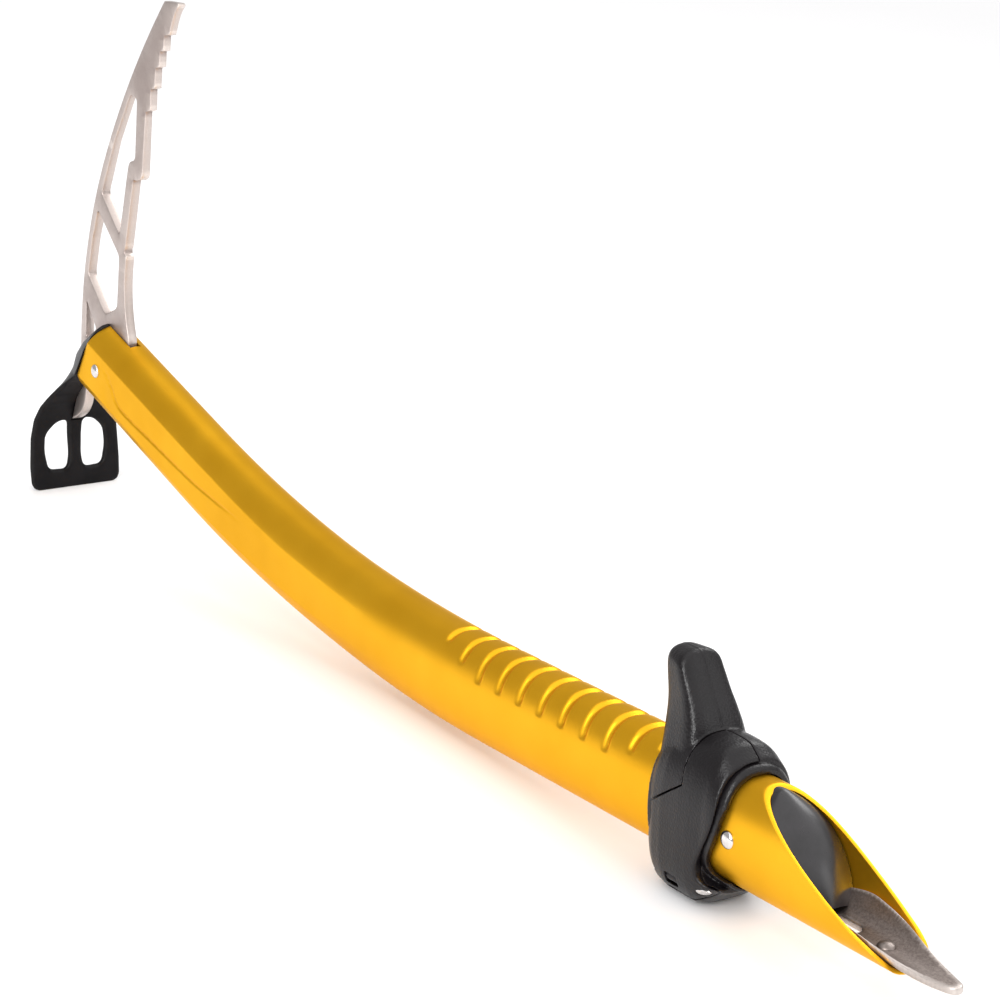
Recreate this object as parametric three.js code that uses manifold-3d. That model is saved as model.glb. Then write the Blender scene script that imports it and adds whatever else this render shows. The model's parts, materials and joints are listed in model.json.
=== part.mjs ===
// Light mountaineering ice axe with a curved oval shaft, a plate pick, a black adze, a spooned spike
// and a finger rest that slides on the grip and is clamped by a side lever.
//
// Units are millimetres, +X runs from the head to the spike, +Z is up on the pick side, and the plane
// y = 0 is the plane of symmetry. The axe lies as it does on a table, on the edge of its adze and on the
// underside of its finger rest. While it is drawn, the head rivet is at x = 0, z = 0; the outer group
// moves the origin to the middle of the footprint, on the table.
import * as THREE from 'three';
import { mergeVertices } from 'three/addons/utils/BufferGeometryUtils.js';
import Module from 'manifold-3d';

const wasm = await Module();
wasm.setup();

// ---- Driving dimensions -------------------------------------------------------------------------

const GAP = 0.3; // clearance between touching pieces
const TABLE_Z = -60; // the surface the axe lies on
const BACK_X = -42.4; // rearmost point, on the back of the adze
const TIP_X = 490; // end of the spike

const HALF_WIDTH = 11.7; // of the oval shaft, across the axe
const HALF_DEPTH = 16.8; // of the oval shaft, from the pick side to the adze side
const WALL = 1.2;
const HEAD_SLOPE = THREE.MathUtils.degToRad(-14.04);
const GRIP_SLOPE = THREE.MathUtils.degToRad(2.62);
const BEND_RADIUS = 700;
const BEND_START = new THREE.Vector2(72.4, -19); // where the straight head part ends
const BEND_LENGTH = BEND_RADIUS * (GRIP_SLOPE - HEAD_SLOPE);

const GRIP_ZERO = BEND_LENGTH + 25.8; // station on the grip from which the spike end is set out
const GROOVES = 11;
const GROOVE_PITCH = 11.36;
const FIRST_GROOVE = GRIP_ZERO - 44.1;
const GROOVE_DEPTH = 0.9;

const PLATE = 4; // thickness of the pick
const RIVET_HEAD = 2.75;
const RIVET_SHANK = 1.9;
const END_RIVET = new THREE.Vector2(GRIP_ZERO + 106.6, 0.4);

const REST_STATION = GRIP_ZERO + 84; // middle of the finger rest along the shaft
const BORE_GAP = 0.4; // sliding fit of the finger rest on the shaft
const PIN = { y: -12, v: -18.9, radius: 1, from: -8.6, to: 15 }; // hinge of the clamp lever

// ---- Materials ----------------------------------------------------------------------------------

function finish(color, roughness, metalness) {
  return new THREE.MeshStandardMaterial({ color, roughness, metalness });
}

const goldAnodised = () => finish(0xe0aa20, 0.38, 0.85);
const plainSteel = () => finish(0xb8aba2, 0.35, 0.95);
const blackLacquer = () => finish(0x161616, 0.28, 0.1);
const grainedNylon = () => finish(0x1d1d1e, 0.55, 0);
const polishedSteel = () => finish(0xd5d2ce, 0.2, 1);
const softRubber = () => finish(0x111111, 0.9, 0);

// ---- Solids -------------------------------------------------------------------------------------

/** A manifold solid made from a closed geometry. */
function solid(geometry) {
  const bare = geometry.index ? geometry.toNonIndexed() : geometry.clone();
  bare.deleteAttribute('normal');
  bare.deleteAttribute('uv');
  const merged = mergeVertices(bare, 1e-4);
  return new wasm.Manifold(new wasm.Mesh({
    numProp: 3,
    vertProperties: new Float32Array(merged.attributes.position.array),
    triVerts: new Uint32Array(merged.index.array),
  }));
}

/** A named mesh made from a manifold solid. */
function piece(name, body, material) {
  const mesh = body.getMesh();
  const geometry = new THREE.BufferGeometry();
  geometry.setAttribute('position', new THREE.BufferAttribute(mesh.vertProperties, 3));
  geometry.setIndex(new THREE.BufferAttribute(mesh.triVerts, 1));
  geometry.computeVertexNormals();
  const part = new THREE.Mesh(geometry, material);
  part.name = name;
  return part;
}

/** Skin over closed loops of equal length, with flat ends; each loop is a list of Vector3. */
function loft(loops) {
  const count = loops[0].length;
  const points = loops.flat();
  const index = [];
  for (let row = 0; row + 1 < loops.length; row += 1) {
    for (let k = 0; k < count; k += 1) {
      const a = row * count + k;
      const b = row * count + ((k + 1) % count);
      index.push(a, b, b + count, a, b + count, a + count);
    }
  }
  const ends = [loops[0], loops[loops.length - 1]];
  ends.forEach((loop, end) => {
    const first = end === 0 ? 0 : (loops.length - 1) * count;
    const middle = loop.reduce((sum, p) => sum.add(p), new THREE.Vector3()).divideScalar(count);
    points.push(middle);
    for (let k = 0; k < count; k += 1) {
      const a = first + k;
      const b = first + ((k + 1) % count);
      index.push(points.length - 1, ...(end === 0 ? [b, a] : [a, b]));
    }
  });
  const geometry = new THREE.BufferGeometry().setFromPoints(points);
  geometry.setIndex(index);
  const body = solid(geometry);
  if (body.volume() > 0) {
    return body;
  }
  const flipped = [];
  for (let k = 0; k < index.length; k += 3) {
    flipped.push(index[k], index[k + 2], index[k + 1]);
  }
  geometry.setIndex(flipped);
  return solid(geometry);
}

/** Side outline in x and z, extruded across the axe from yMin to yMax. */
function prism(outline, yMin, yMax, curveSegments = 12) {
  const shape = outline instanceof THREE.Shape ? outline : new THREE.Shape(vectors(outline));
  const depth = yMax - yMin;
  const geometry = new THREE.ExtrudeGeometry(shape, { depth, bevelEnabled: false, curveSegments });
  geometry.rotateX(Math.PI / 2);
  geometry.translate(0, yMax, 0);
  return solid(geometry);
}

function vectors(pairs) {
  return pairs.map(([x, y]) => new THREE.Vector2(x, y));
}

/** Closed outline whose corners are rounded by up to the given radius. */
function rounded(pairs, radius) {
  const path = new THREE.Shape();
  const corners = vectors(pairs);
  corners.forEach((corner, k) => {
    const before = corners[(k + corners.length - 1) % corners.length];
    const after = corners[(k + 1) % corners.length];
    const reach = (to) => Math.min(radius, corner.distanceTo(to) * 0.45);
    const start = corner.clone().lerp(before, reach(before) / corner.distanceTo(before));
    const end = corner.clone().lerp(after, reach(after) / corner.distanceTo(after));
    if (k === 0) {
      path.moveTo(start.x, start.y);
    } else {
      path.lineTo(start.x, start.y);
    }
    path.quadraticCurveTo(corner.x, corner.y, end.x, end.y);
  });
  path.closePath();
  return path;
}

/** Round bar along +X from x0 to x1. */
function bar(radius, x0, x1, y, z, sides = 28) {
  const geometry = new THREE.CylinderGeometry(radius, radius, x1 - x0, sides);
  geometry.rotateZ(-Math.PI / 2);
  geometry.translate((x0 + x1) / 2, y, z);
  return solid(geometry);
}

/** Rivet across the axe: a shank with a low dome at each end. */
function crossRivet(x, z, halfSpan) {
  const dome = 1.3;
  const profile = [[0, -halfSpan - dome]];
  const steps = 6;
  for (let k = 1; k <= steps; k += 1) {
    const turn = (k / steps) * (Math.PI / 2);
    profile.push([RIVET_HEAD * Math.sin(turn), -halfSpan - dome * Math.cos(turn)]);
  }
  profile.push([RIVET_SHANK, -halfSpan]);
  const other = profile.map(([r, y]) => [r, -y]).reverse();
  const geometry = new THREE.LatheGeometry(vectors([...profile, ...other]), 24);
  geometry.translate(x, 0, z);
  return solid(geometry);
}

// ---- Shaft --------------------------------------------------------------------------------------

/** Centre line of the shaft at a station measured from the start of the bend. */
function shaftFrame(station) {
  const turned = THREE.MathUtils.clamp(station, 0, BEND_LENGTH) / BEND_RADIUS;
  const slope = HEAD_SLOPE + turned;
  const onArc = new THREE.Vector2(
    BEND_START.x + BEND_RADIUS * (Math.sin(slope) - Math.sin(HEAD_SLOPE)),
    BEND_START.y - BEND_RADIUS * (Math.cos(slope) - Math.cos(HEAD_SLOPE)),
  );
  const straight = station - THREE.MathUtils.clamp(station, 0, BEND_LENGTH);
  const along = new THREE.Vector2(Math.cos(slope), Math.sin(slope));
  return { centre: onArc.addScaledVector(along, straight), along, slope };
}

/** Point beside the centre line: v is the height above it, square to the shaft. */
function shaftPoint(station, y, v) {
  const { centre, along } = shaftFrame(station);
  return new THREE.Vector3(centre.x - v * along.y, y, centre.y + v * along.x);
}

/** Power of the section's oval: an ellipse at the head, a little squarer along the grip. */
function sectionPower(station) {
  return 2.05 + 0.35 * THREE.MathUtils.smoothstep(station, 100, 190);
}

/** Half width between the flat side facets, which fade out towards the grip. */
function facetHalfWidth(station) {
  return THREE.MathUtils.lerp(10.3, HALF_WIDTH, THREE.MathUtils.smoothstep(station, 92, 150));
}

/** Loop round the shaft, inset from its outer surface. */
function shaftLoop(station, inset, sides, dent = () => 0) {
  const power = sectionPower(station);
  const flat = facetHalfWidth(station) - inset;
  const loop = [];
  for (let k = 0; k < sides; k += 1) {
    const turn = ((k + 0.5) / sides) * 2 * Math.PI;
    const c = Math.cos(turn);
    const s = Math.sin(turn);
    const y = (HALF_WIDTH - inset) * Math.sign(c) * Math.abs(c) ** (2 / power);
    const v = (HALF_DEPTH - inset) * Math.sign(s) * Math.abs(s) ** (2 / power);
    const scale = 1 - dent(v) / HALF_DEPTH;
    loop.push(shaftPoint(station, THREE.MathUtils.clamp(y, -flat, flat) * scale, v * scale));
  }
  return loop;
}

/** Depth of the pressed grip grooves; the outer ones are shorter, so the field ends in a point. */
function grooveDepth(station, v) {
  const nearest = Math.round((station - FIRST_GROOVE) / GROOVE_PITCH);
  if (nearest < 0 || nearest >= GROOVES) {
    return 0;
  }
  const fromEnd = Math.min(nearest, GROOVES - 1 - nearest);
  const lowEnd = Math.max(7.2, 13.9 - 3.5 * fromEnd);
  const offset = (station - FIRST_GROOVE - nearest * GROOVE_PITCH) / 1.6;
  return GROOVE_DEPTH * Math.exp(-offset * offset) * THREE.MathUtils.smoothstep(v, lowEnd - 1, lowEnd + 2);
}

/** Stations for skinning the shaft: wide apart on the straights, three to each groove. */
function shaftStations() {
  const list = [-106, -74];
  for (let k = 0; k <= 12; k += 1) {
    list.push((k / 12) * (FIRST_GROOVE - 6));
  }
  for (let k = 0; k < GROOVES; k += 1) {
    const middle = FIRST_GROOVE + k * GROOVE_PITCH;
    list.push(middle - 2.6, middle, middle + 2.6);
  }
  list.push(GRIP_ZERO + 90, GRIP_ZERO + 180);
  return list;
}

function shaftOuter() {
  return loft(shaftStations().map((s) => shaftLoop(s, 0, 40, (v) => grooveDepth(s, v))));
}

/** Core of the shaft between two stations, inset from the outer surface. */
function shaftCore(inset, from, to, sides = 40) {
  const steps = Math.max(1, Math.ceil((Math.min(to, BEND_LENGTH) - Math.max(from, 0)) / 20));
  const list = [from];
  for (let k = 0; k <= steps; k += 1) {
    list.push(THREE.MathUtils.lerp(Math.max(from, 0), Math.min(to, BEND_LENGTH), k / steps));
  }
  list.push(to);
  const inside = list.filter((s, k) => k === 0 || s > list[k - 1] + 0.5);
  return loft(inside.map((s) => shaftLoop(s, inset, sides)));
}

/** The shaft's head end is cut on a slant; everything in front of this line is cut away. */
const HEAD_CUT = { top: [-3.2, 17], lean: Math.tan(THREE.MathUtils.degToRad(30.5)) };

function headCutX(z) {
  return HEAD_CUT.top[0] + (z - HEAD_CUT.top[1]) * HEAD_CUT.lean;
}

/** Everything on the head side of the slanted end, moved towards the spike by an inset. */
function headSide(inset) {
  const low = -80;
  const high = 60;
  const outline = [[-120, low], [headCutX(low) + inset, low], [headCutX(high) + inset, high], [-120, high]];
  return prism(outline, -40, 40);
}

// Edge of the scoop at the spike end: distance along the grip and height above the centre line.
const SCOOP = [
  [96, 30], [103, 22.5], [111.7, 17], [121.8, 11.6], [132, 5.9], [141.6, 0.7], [149.5, -3.4], [157, -7.1],
  [164, -10.3], [168.8, -13.2], [171, -17], [171.2, -24],
];

/** Side outline of the scoop that opens the spike end. */
function scoopOutline() {
  const edge = new THREE.SplineCurve(vectors(SCOOP)).getPoints(36);
  const outline = [...edge.map((p) => [p.x, p.y]), [215, -30], [215, 30]];
  return outline.map(([along, v]) => {
    const p = shaftPoint(GRIP_ZERO + along, 0, v);
    return [p.x, p.z];
  });
}

function pickSlot() {
  return prism([[-60, 5], [12.7, 5], [12.7, 40], [-60, 40]], -PLATE / 2 - GAP, PLATE / 2 + GAP);
}

function rivetHole(x, z, clearance = 0.3) {
  const geometry = new THREE.CylinderGeometry(RIVET_SHANK + clearance, RIVET_SHANK + clearance, 60, 20);
  geometry.translate(x, 0, z);
  return solid(geometry);
}

function endRivetAt() {
  return shaftPoint(END_RIVET.x, 0, END_RIVET.y);
}

function shaftTube() {
  const rivet = endRivetAt();
  return shaftOuter()
    .subtract(shaftCore(WALL, -112, GRIP_ZERO + 190))
    .subtract(headSide(0))
    .subtract(pickSlot())
    .subtract(prism(scoopOutline(), -40, 40))
    .subtract(rivetHole(0, 0))
    .subtract(rivetHole(rivet.x, rivet.z))
    .subtract(spikeRivetHole())
    .subtract(slotSolid(WALL_SLOT));
}

// ---- Head ---------------------------------------------------------------------------------------

const SPINE = { tip: [38, 150.3], pull: [-30.5, 76], low: [-30.4, 4] };
const TEETH = [
  [[42.3, 138.5], [38.2, 137.5]],
  [[37.8, 131.9], [34.9, 131.1]],
  [[34.6, 125.4], [31.5, 124.4]],
  [[31.0, 116.8], [27.8, 115.8]],
  [[27.6, 107.9], [23.8, 106.6]],
];

/** Side outline of the pick with its tang and the tail that runs down behind the adze. */
function pickOutline() {
  const shape = new THREE.Shape();
  shape.moveTo(...SPINE.tip);
  shape.lineTo(49.4, 150.9);
  shape.quadraticCurveTo(45.2, 146.5, ...TEETH[0][0]);
  TEETH.forEach(([edge, step]) => {
    shape.lineTo(...edge);
    shape.lineTo(...step);
  });
  shape.lineTo(21.9, 81.8);
  shape.quadraticCurveTo(20.5, 79, 14.6, 78.9);
  shape.lineTo(8.4, 50.8);
  shape.lineTo(7.6, 50);
  shape.lineTo(7.8, 48.6);
  shape.lineTo(9.4, 47.6);
  shape.quadraticCurveTo(5.8, 30.5, 12.1, 15);
  shape.lineTo(12.1, -16.5);
  shape.lineTo(-18.5, -8.9);
  shape.quadraticCurveTo(-24.6, -8.4, -25.2, -15);
  shape.quadraticCurveTo(-25.6, -26, -38.4, -30.9);
  shape.quadraticCurveTo(-30.8, -14, ...SPINE.low);
  shape.quadraticCurveTo(...SPINE.pull, ...SPINE.tip);
  return shape;
}

const PICK_WINDOWS = [
  [[10.8, 111.4], [16.4, 110.6], [15.6, 86.8], [10.6, 85.2], [9.3, 80.6], [3.6, 55], [-12.6, 68.6], [-2.2, 91]],
  [[-15.8, 61.4], [3.2, 46.6], [1.7, 25.4], [-8.2, 20.2], [-24.2, 33.4], [-20.8, 48]],
  [[-25.8, 22.6], [-16.4, 12.4], [-26, 6.4]],
];

function pickPlate() {
  const plate = prism(pickOutline(), -PLATE / 2, PLATE / 2, 14).subtract(rivetHole(0, 0));
  return PICK_WINDOWS.reduce((body, window) => body.subtract(prism(rounded(window, 2), -20, 20, 5)), plate);
}

/** Room for the pick inside the pieces that hold it. */
function pickRoom() {
  const side = PLATE / 2 + GAP;
  const upper = [[-30.9, 0], [40, 0], [40, 60], [-30.9, 60]];
  const lower = [[-30.9, 1], [-31.4, -6], [-34.2, -18], [-39.6, -31.4], [-38.4, -32], [-20, -32], [14, -17], [14, 1]];
  return prism(upper, -side, side).add(prism(lower, -side, side));
}

// Levels of the adze from the top of its hood to its edge: height, half width, back and front on the
// middle line, and how far the back wraps forward at the sides.
const ADZE_LEVELS = [
  { z: 16.6, half: 3, back: -5.6, front: headCutX(16.6) - GAP, wrap: 0.6 },
  { z: 12, half: 7.6, back: -15.8, front: headCutX(12) - GAP, wrap: 0.9 },
  { z: 6, half: 10.2, back: -25, front: headCutX(6) - GAP, wrap: 0.93 },
  { z: 0, half: 10.6, back: -31.8, front: headCutX(0) - GAP, wrap: 0.93 },
  { z: -6, half: 10.8, back: -34, front: headCutX(-6) - GAP, wrap: 0.92 },
  { z: -12, half: 12, back: -36.4, front: headCutX(-12) - GAP, wrap: 0.88 },
  { z: -18, half: 14.2, back: -38.8, front: -27.4, wrap: 0.75 },
  { z: -24, half: 16.6, back: -40.8, front: -33, wrap: 0.55 },
  { z: -30, half: 18.3, back: -42, front: -37.6, wrap: 0.3 },
  { z: -38, half: 19.4, back: BACK_X, front: -39.3, wrap: 0.15 },
  { z: -50, half: 20, back: -41.4, front: -38.4, wrap: 0.12 },
  { z: -58, half: 19.9, back: -39.6, front: -37.8, wrap: 0.1 },
  { z: TABLE_Z, half: 19.2, back: -38.8, front: -37.6, wrap: 0.1 },
];

function adzeLoop({ z, half, back, front, wrap }) {
  const steps = 14;
  const loop = [new THREE.Vector3(front, -half, z)];
  for (let k = 0; k <= steps; k += 1) {
    const across = (2 * k) / steps - 1;
    loop.push(new THREE.Vector3(back + (front - back) * wrap * across * across, across * half, z));
  }
  loop.push(new THREE.Vector3(front, half, z));
  return loop;
}

/** Window of the adze as seen from the front, in y and z, for the side given by its sign. */
function adzeWindow(sign) {
  const outline = [[3.3, -31.4], [8.2, -31.8], [13, -36.5], [13.6, -44], [12, -52], [3.8, -52.4], [2.7, -47]];
  const shape = rounded(outline.map(([y, z]) => [y * sign, z]), 2.6);
  const geometry = new THREE.ExtrudeGeometry(shape, { depth: 30, bevelEnabled: false, curveSegments: 5 });
  geometry.rotateX(Math.PI / 2);
  geometry.rotateZ(Math.PI / 2);
  geometry.translate(-60, 0, 0);
  return solid(geometry);
}

function adze() {
  return loft(ADZE_LEVELS.map(adzeLoop))
    .subtract(pickRoom())
    .subtract(adzeWindow(1))
    .subtract(adzeWindow(-1));
}

const FILLER_INSET = 1.5; // how far the fillers sit inside the slanted end

/** Plastic half shell that centres the tang of the pick in the shaft. */
function headFiller(sign) {
  const inner = PLATE / 2 + GAP;
  const half = [[-60, -60], [60, -60], [60, 60], [-60, 60]];
  return shaftCore(WALL + GAP, -106, -40, 32)
    .intersect(sign > 0 ? prism(half, inner, 30) : prism(half, -30, -inner))
    .subtract(headSide(FILLER_INSET))
    .subtract(rivetHole(0, 0));
}

// ---- Spike end ----------------------------------------------------------------------------------

const SPIKE_RIVET_X = 461.5;
const SPIKE = 2.3; // thickness of the spike plate

// Outline of the spike plate: distance and half width, from its round rear end to its point.
const SPIKE_OUTLINE = [
  [426.5, 3], [427.6, 5.4], [430, 7.2], [433, 8.4], [438, 9.1], [445, 9.4], [452, 9.4], [457, 9], [461, 8.3],
  [465, 7.4], [469, 6.4], [475.5, 5], [482, 3.7], [487, 2.6], [489.2, 2.1], [TIP_X, 1.3],
];

/** How far the inside of the shaft has risen above its lowest line at a distance across. */
function wallRise(y) {
  const inset = WALL + GAP;
  const share = Math.abs(y) / (HALF_WIDTH - inset);
  return (HALF_DEPTH - inset) * (1 - (1 - share ** 2.4) ** (1 / 2.4));
}

/** Section of the spike plate: it lies in the round of the shaft and flattens towards its point. */
function spikeLoop([x, outlineHalf], thickness = SPIKE, side = 0) {
  const half = outlineHalf + side;
  const roll = 1 - THREE.MathUtils.smoothstep(x, 466, 492); // share of the shaft's roundness it follows
  const base = shaftPoint(GRIP_ZERO + (x - 300), 0, -HALF_DEPTH + WALL + GAP).z;
  const steps = 12;
  const under = [];
  const over = [];
  for (let k = 0; k <= steps; k += 1) {
    const y = half * ((2 * k) / steps - 1);
    const rise = roll * wallRise(y);
    under.push(new THREE.Vector3(x, y, base + rise - side * 10));
    over.unshift(new THREE.Vector3(x, y, base + rise + thickness));
  }
  return [...under, ...over];
}

/** Solid of revolution about an upright axis. */
function upright(profile, x, z, sides = 24) {
  const geometry = new THREE.LatheGeometry(vectors(profile), sides);
  geometry.rotateX(Math.PI / 2);
  geometry.translate(x, 0, z);
  return solid(geometry);
}

function spikeSeat() {
  return shaftPoint(GRIP_ZERO + (SPIKE_RIVET_X - 300), 0, -HALF_DEPTH).z;
}

function spikeRivetHole() {
  const radius = RIVET_SHANK + GAP;
  const z = spikeSeat();
  return upright([[0, -6], [radius, -6], [radius, 10], [0, 10]], SPIKE_RIVET_X, z, 20);
}

const LEASH_SLOT = { from: 438, to: 450.4, half: 2.7 };
const WALL_SLOT = { from: 431.5, to: 452, half: 6.4 }; // wider, so the slot is open to the light

/** Leash slot, cut upright. */
function slotSolid({ from, to, half }) {
  const shape = rounded([[from, -half], [to, -half], [to, half], [from, half]], half);
  const geometry = new THREE.ExtrudeGeometry(shape, { depth: 40, bevelEnabled: false, curveSegments: 6 });
  geometry.translate(0, 0, -70);
  return solid(geometry);
}

function spikeBlade() {
  return loft(SPIKE_OUTLINE.map((station) => spikeLoop(station)))
    .subtract(slotSolid(LEASH_SLOT))
    .subtract(spikeRivetHole());
}

/** Rivet of the spike: a dome inside the scoop and a flat snap head in the shaft's wall. */
function spikeRivet() {
  const top = WALL + GAP + SPIKE + GAP;
  const profile = [[0, -0.9], [2.2, -0.9], [2.7, -GAP], [RIVET_SHANK, -GAP], [RIVET_SHANK, top]];
  const steps = 6;
  for (let k = 0; k <= steps; k += 1) {
    const turn = (k / steps) * (Math.PI / 2);
    profile.push([RIVET_HEAD * Math.cos(turn), top + 1.3 * Math.sin(turn)]);
  }
  return upright(profile, SPIKE_RIVET_X, spikeSeat());
}

/** Side outline of the room that the end plug leaves open, above its hollowed outer face. */
function plugOpening() {
  const at = (along, v) => {
    const p = shaftPoint(GRIP_ZERO + along, 0, v);
    return [p.x, p.z];
  };
  const shape = new THREE.Shape();
  shape.moveTo(...at(112.5, 20));
  shape.lineTo(...at(114, 14.8));
  shape.quadraticCurveTo(...at(131, 8), ...at(138, -11.8));
  shape.lineTo(...at(138, -30));
  shape.lineTo(...at(230, -30));
  shape.lineTo(...at(230, 30));
  shape.lineTo(...at(112.5, 30));
  shape.closePath();
  return shape;
}

function endPlug() {
  const rivet = endRivetAt();
  const room = [[425.8, 9.4], [450, 9.4], [470, 9.4]];
  const spikeRoom = loft(room.map((station) => spikeLoop(station, SPIKE + 2 * GAP, 0.6)));
  return shaftCore(WALL + GAP, GRIP_ZERO + 88, GRIP_ZERO + 175)
    .subtract(prism(plugOpening(), -40, 40, 10))
    .subtract(spikeRoom)
    .subtract(rivetHole(rivet.x, rivet.z));
}

// ---- Finger rest --------------------------------------------------------------------------------
// Drawn about the shaft's centre line: x along the shaft towards the spike, z square to it.

/** Oval loop in a plane square to the shaft. */
function ovalLoop(x, half, top, bottom, power = 2.4, lowPower = power, sides = 40) {
  const loop = [];
  for (let k = 0; k < sides; k += 1) {
    const turn = ((k + 0.5) / sides) * 2 * Math.PI;
    const c = Math.cos(turn);
    const s = Math.sin(turn);
    const p = s > 0 ? power : lowPower;
    const height = s > 0 ? top : bottom;
    const y = half * Math.sign(c) * Math.abs(c) ** (2 / p);
    const z = height * Math.sign(s) * Math.abs(s) ** (2 / p);
    loop.push(new THREE.Vector3(x, y, z));
  }
  return loop;
}

const COLLAR_FOOT_X = -4; // where the finger rest touches the table
const COLLAR_LOW = collarFoot();
const COLLAR = [
  { x: -12, half: 12.9, top: 18.6, low: COLLAR_LOW - 5.3 },
  { x: -11, half: 13.6, top: 20, low: COLLAR_LOW - 3.1 },
  { x: -8.5, half: 14.6, top: 22, low: COLLAR_LOW - 0.9 },
  { x: COLLAR_FOOT_X, half: 15.2, top: 23.8, low: COLLAR_LOW },
  { x: 4, half: 15.3, top: 24.9, low: COLLAR_LOW },
  { x: 8, half: 15.2, top: 25, low: COLLAR_LOW },
  { x: 11, half: 15, top: 24.9, low: COLLAR_LOW - 1.1 },
  { x: 14, half: 14.8, top: 24.6, low: COLLAR_LOW - 3.5 },
  { x: 15.6, half: 14.7, top: 24, low: COLLAR_LOW - 4.9 },
  { x: 17, half: 14.5, top: 22.6, low: COLLAR_LOW - 6 },
  { x: 19.3, half: 14.1, top: 20.2, low: COLLAR_LOW - 7.2 },
];

/** Depth of the collar below the shaft's centre line that just reaches the table. */
function collarFoot() {
  const { centre, slope } = shaftFrame(REST_STATION);
  return (centre.y - TABLE_Z + COLLAR_FOOT_X * Math.sin(slope)) / Math.cos(slope);
}

// Side outlines of the finger rest's spike side, which is drawn in below the middle: distance and height
// for the collar and, a little farther out, for the ring inside it.
const COLLAR_FRONT = [
  [19.2, 9], [18.9, 5.5], [18.1, 2.7], [16.6, -1], [14.5, -5.1], [12.8, -9], [12.1, -12], [12.6, -14.2],
  [14, -15.6], [16.2, -16.4],
];
const RING_FRONT = [
  [21.4, 9], [20.5, 5.6], [19.2, 1], [17.9, -2.3], [16.3, -5.4], [14.9, -8.6], [14.6, -10.8], [15.2, -12.4],
  [17, -13.4], [19.6, -13.9],
];

/** What is taken away on the spike side of a drawn-in outline. */
function beyond(outline) {
  const [, high] = outline[0];
  const [, low] = outline[outline.length - 1];
  return prism([...outline, [40, low - 0.3], [40, high + 0.3]], -40, 40);
}

function collar() {
  return loft(COLLAR.map(({ x, half, top, low }) => ovalLoop(x, half, top, low, 2.6, 4)))
    .subtract(beyond(COLLAR_FRONT));
}

/** Inner ring that shows as a step round the shaft at the spike side. */
function innerRing(grow) {
  const loops = [[-12, 13.9, 19.8, 18], [20.2, 13.9, 19.8, 18], [21, 13.6, 19.4, 17.9], [21.6, 13.1, 18.7, 17.8]];
  return loft(loops.map(([x, half, top, low]) => ovalLoop(x, half + grow, top + grow, low + grow)));
}

function restBore() {
  const half = HALF_WIDTH + BORE_GAP;
  const high = HALF_DEPTH + BORE_GAP;
  return loft([-30, 30].map((x) => ovalLoop(x, half, high, high)));
}

// Levels of the horn: height, back and front, and the half widths of its back and of its front.
const HORN = [
  { z: 14, back: -13.4, front: 5.2, wide: [9.5, 12] },
  { z: 20, back: -14.4, front: 4.8, wide: [8.2, 11.4] },
  { z: 25, back: -15, front: 3.7, wide: [7.4, 10.7] },
  { z: 28, back: -15.3, front: 2.5, wide: [7, 10.1] },
  { z: 31, back: -15.6, front: 1, wide: [6.8, 9.5] },
  { z: 33.6, back: -15.9, front: -0.6, wide: [6.6, 9.1] },
  { z: 39, back: -16.6, front: -3.9, wide: [6.4, 8.6] },
  { z: 42.4, back: -17, front: -5.8, wide: [5.8, 7.9] },
  { z: 44.4, back: -16.8, front: -6.8, wide: [4.4, 5.9] },
  { z: 45.5, back: -15.8, front: -7.8, wide: [2.4, 3.2] },
];

function horn() {
  const sides = 32;
  return loft(HORN.map(({ z, back, front, wide }) => {
    const loop = [];
    for (let k = 0; k < sides; k += 1) {
      const turn = ((k + 0.5) / sides) * 2 * Math.PI;
      const c = Math.cos(turn);
      const s = Math.sin(turn);
      const x = (back + front) / 2 + ((front - back) / 2) * Math.sign(c) * Math.sqrt(Math.abs(c));
      const half = THREE.MathUtils.mapLinear(x, back, front, ...wide);
      loop.push(new THREE.Vector3(x, half * Math.sign(s) * Math.sqrt(Math.abs(s)), z));
    }
    return loop;
  }));
}

const LEVER_TOP_Y = 1.2; // where the lever ends on top of the collar
// The finger rest's knuckle sits in a small cavity of the lever. On both sides of it the lever surrounds
// the pin and turns inside the swept room: distance along the pin and radius.
const KNUCKLE = { from: -1.8, to: 3.2, radius: 1.9, cavity: 2.4 };
const SWEPT = [[-30, 4.4], [9, 4.4], [13.5, 2.6], [30, 2.6]];

/** Room about the pin in which the lever turns, shrunk by a clearance. */
function sweptRoom(clearance) {
  const sides = 28;
  return loft(SWEPT.map(([x, radius]) => {
    const loop = [];
    for (let k = 0; k < sides; k += 1) {
      const turn = (k / sides) * 2 * Math.PI;
      const r = radius - clearance;
      loop.push(new THREE.Vector3(x, PIN.y + r * Math.cos(turn), PIN.v + r * Math.sin(turn)));
    }
    return loop;
  }));
}

/** Space that belongs to the lever, grown by a clearance. */
function leverSpace(grow) {
  const slit = [[-24, -8.4], [4.6, 11], [3.8, 16], [3.9, 21], [5.2, 34], [30, 34], [30, -9], [-24, -9]];
  const edge = slit.map(([x, z], k) => (k < 5 ? [x - grow, z + grow] : [x, z]));
  const above = prism(edge, -30, LEVER_TOP_Y + grow);
  const below = prism([[-24, -8.7], [30, -8.7], [30, -40], [-24, -40]], -30, PIN.y);
  return above.add(below);
}

function pinHole() {
  return bar(PIN.radius + GAP, -30, 30, PIN.y, PIN.v, 20);
}

/** Seat of a rubber pad in the side of the ring. */
function padBox(side, y0, y1, grow) {
  const outline = [[-4, -7], [10, -7], [10, 7], [-4, 7]].map(([x, z]) => [
    x + Math.sign(x) * grow, z + Math.sign(z) * grow,
  ]);
  const shape = rounded(outline, 2);
  return side > 0 ? prism(shape, y0, y1, 5) : prism(shape, -y1, -y0, 5);
}

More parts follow.
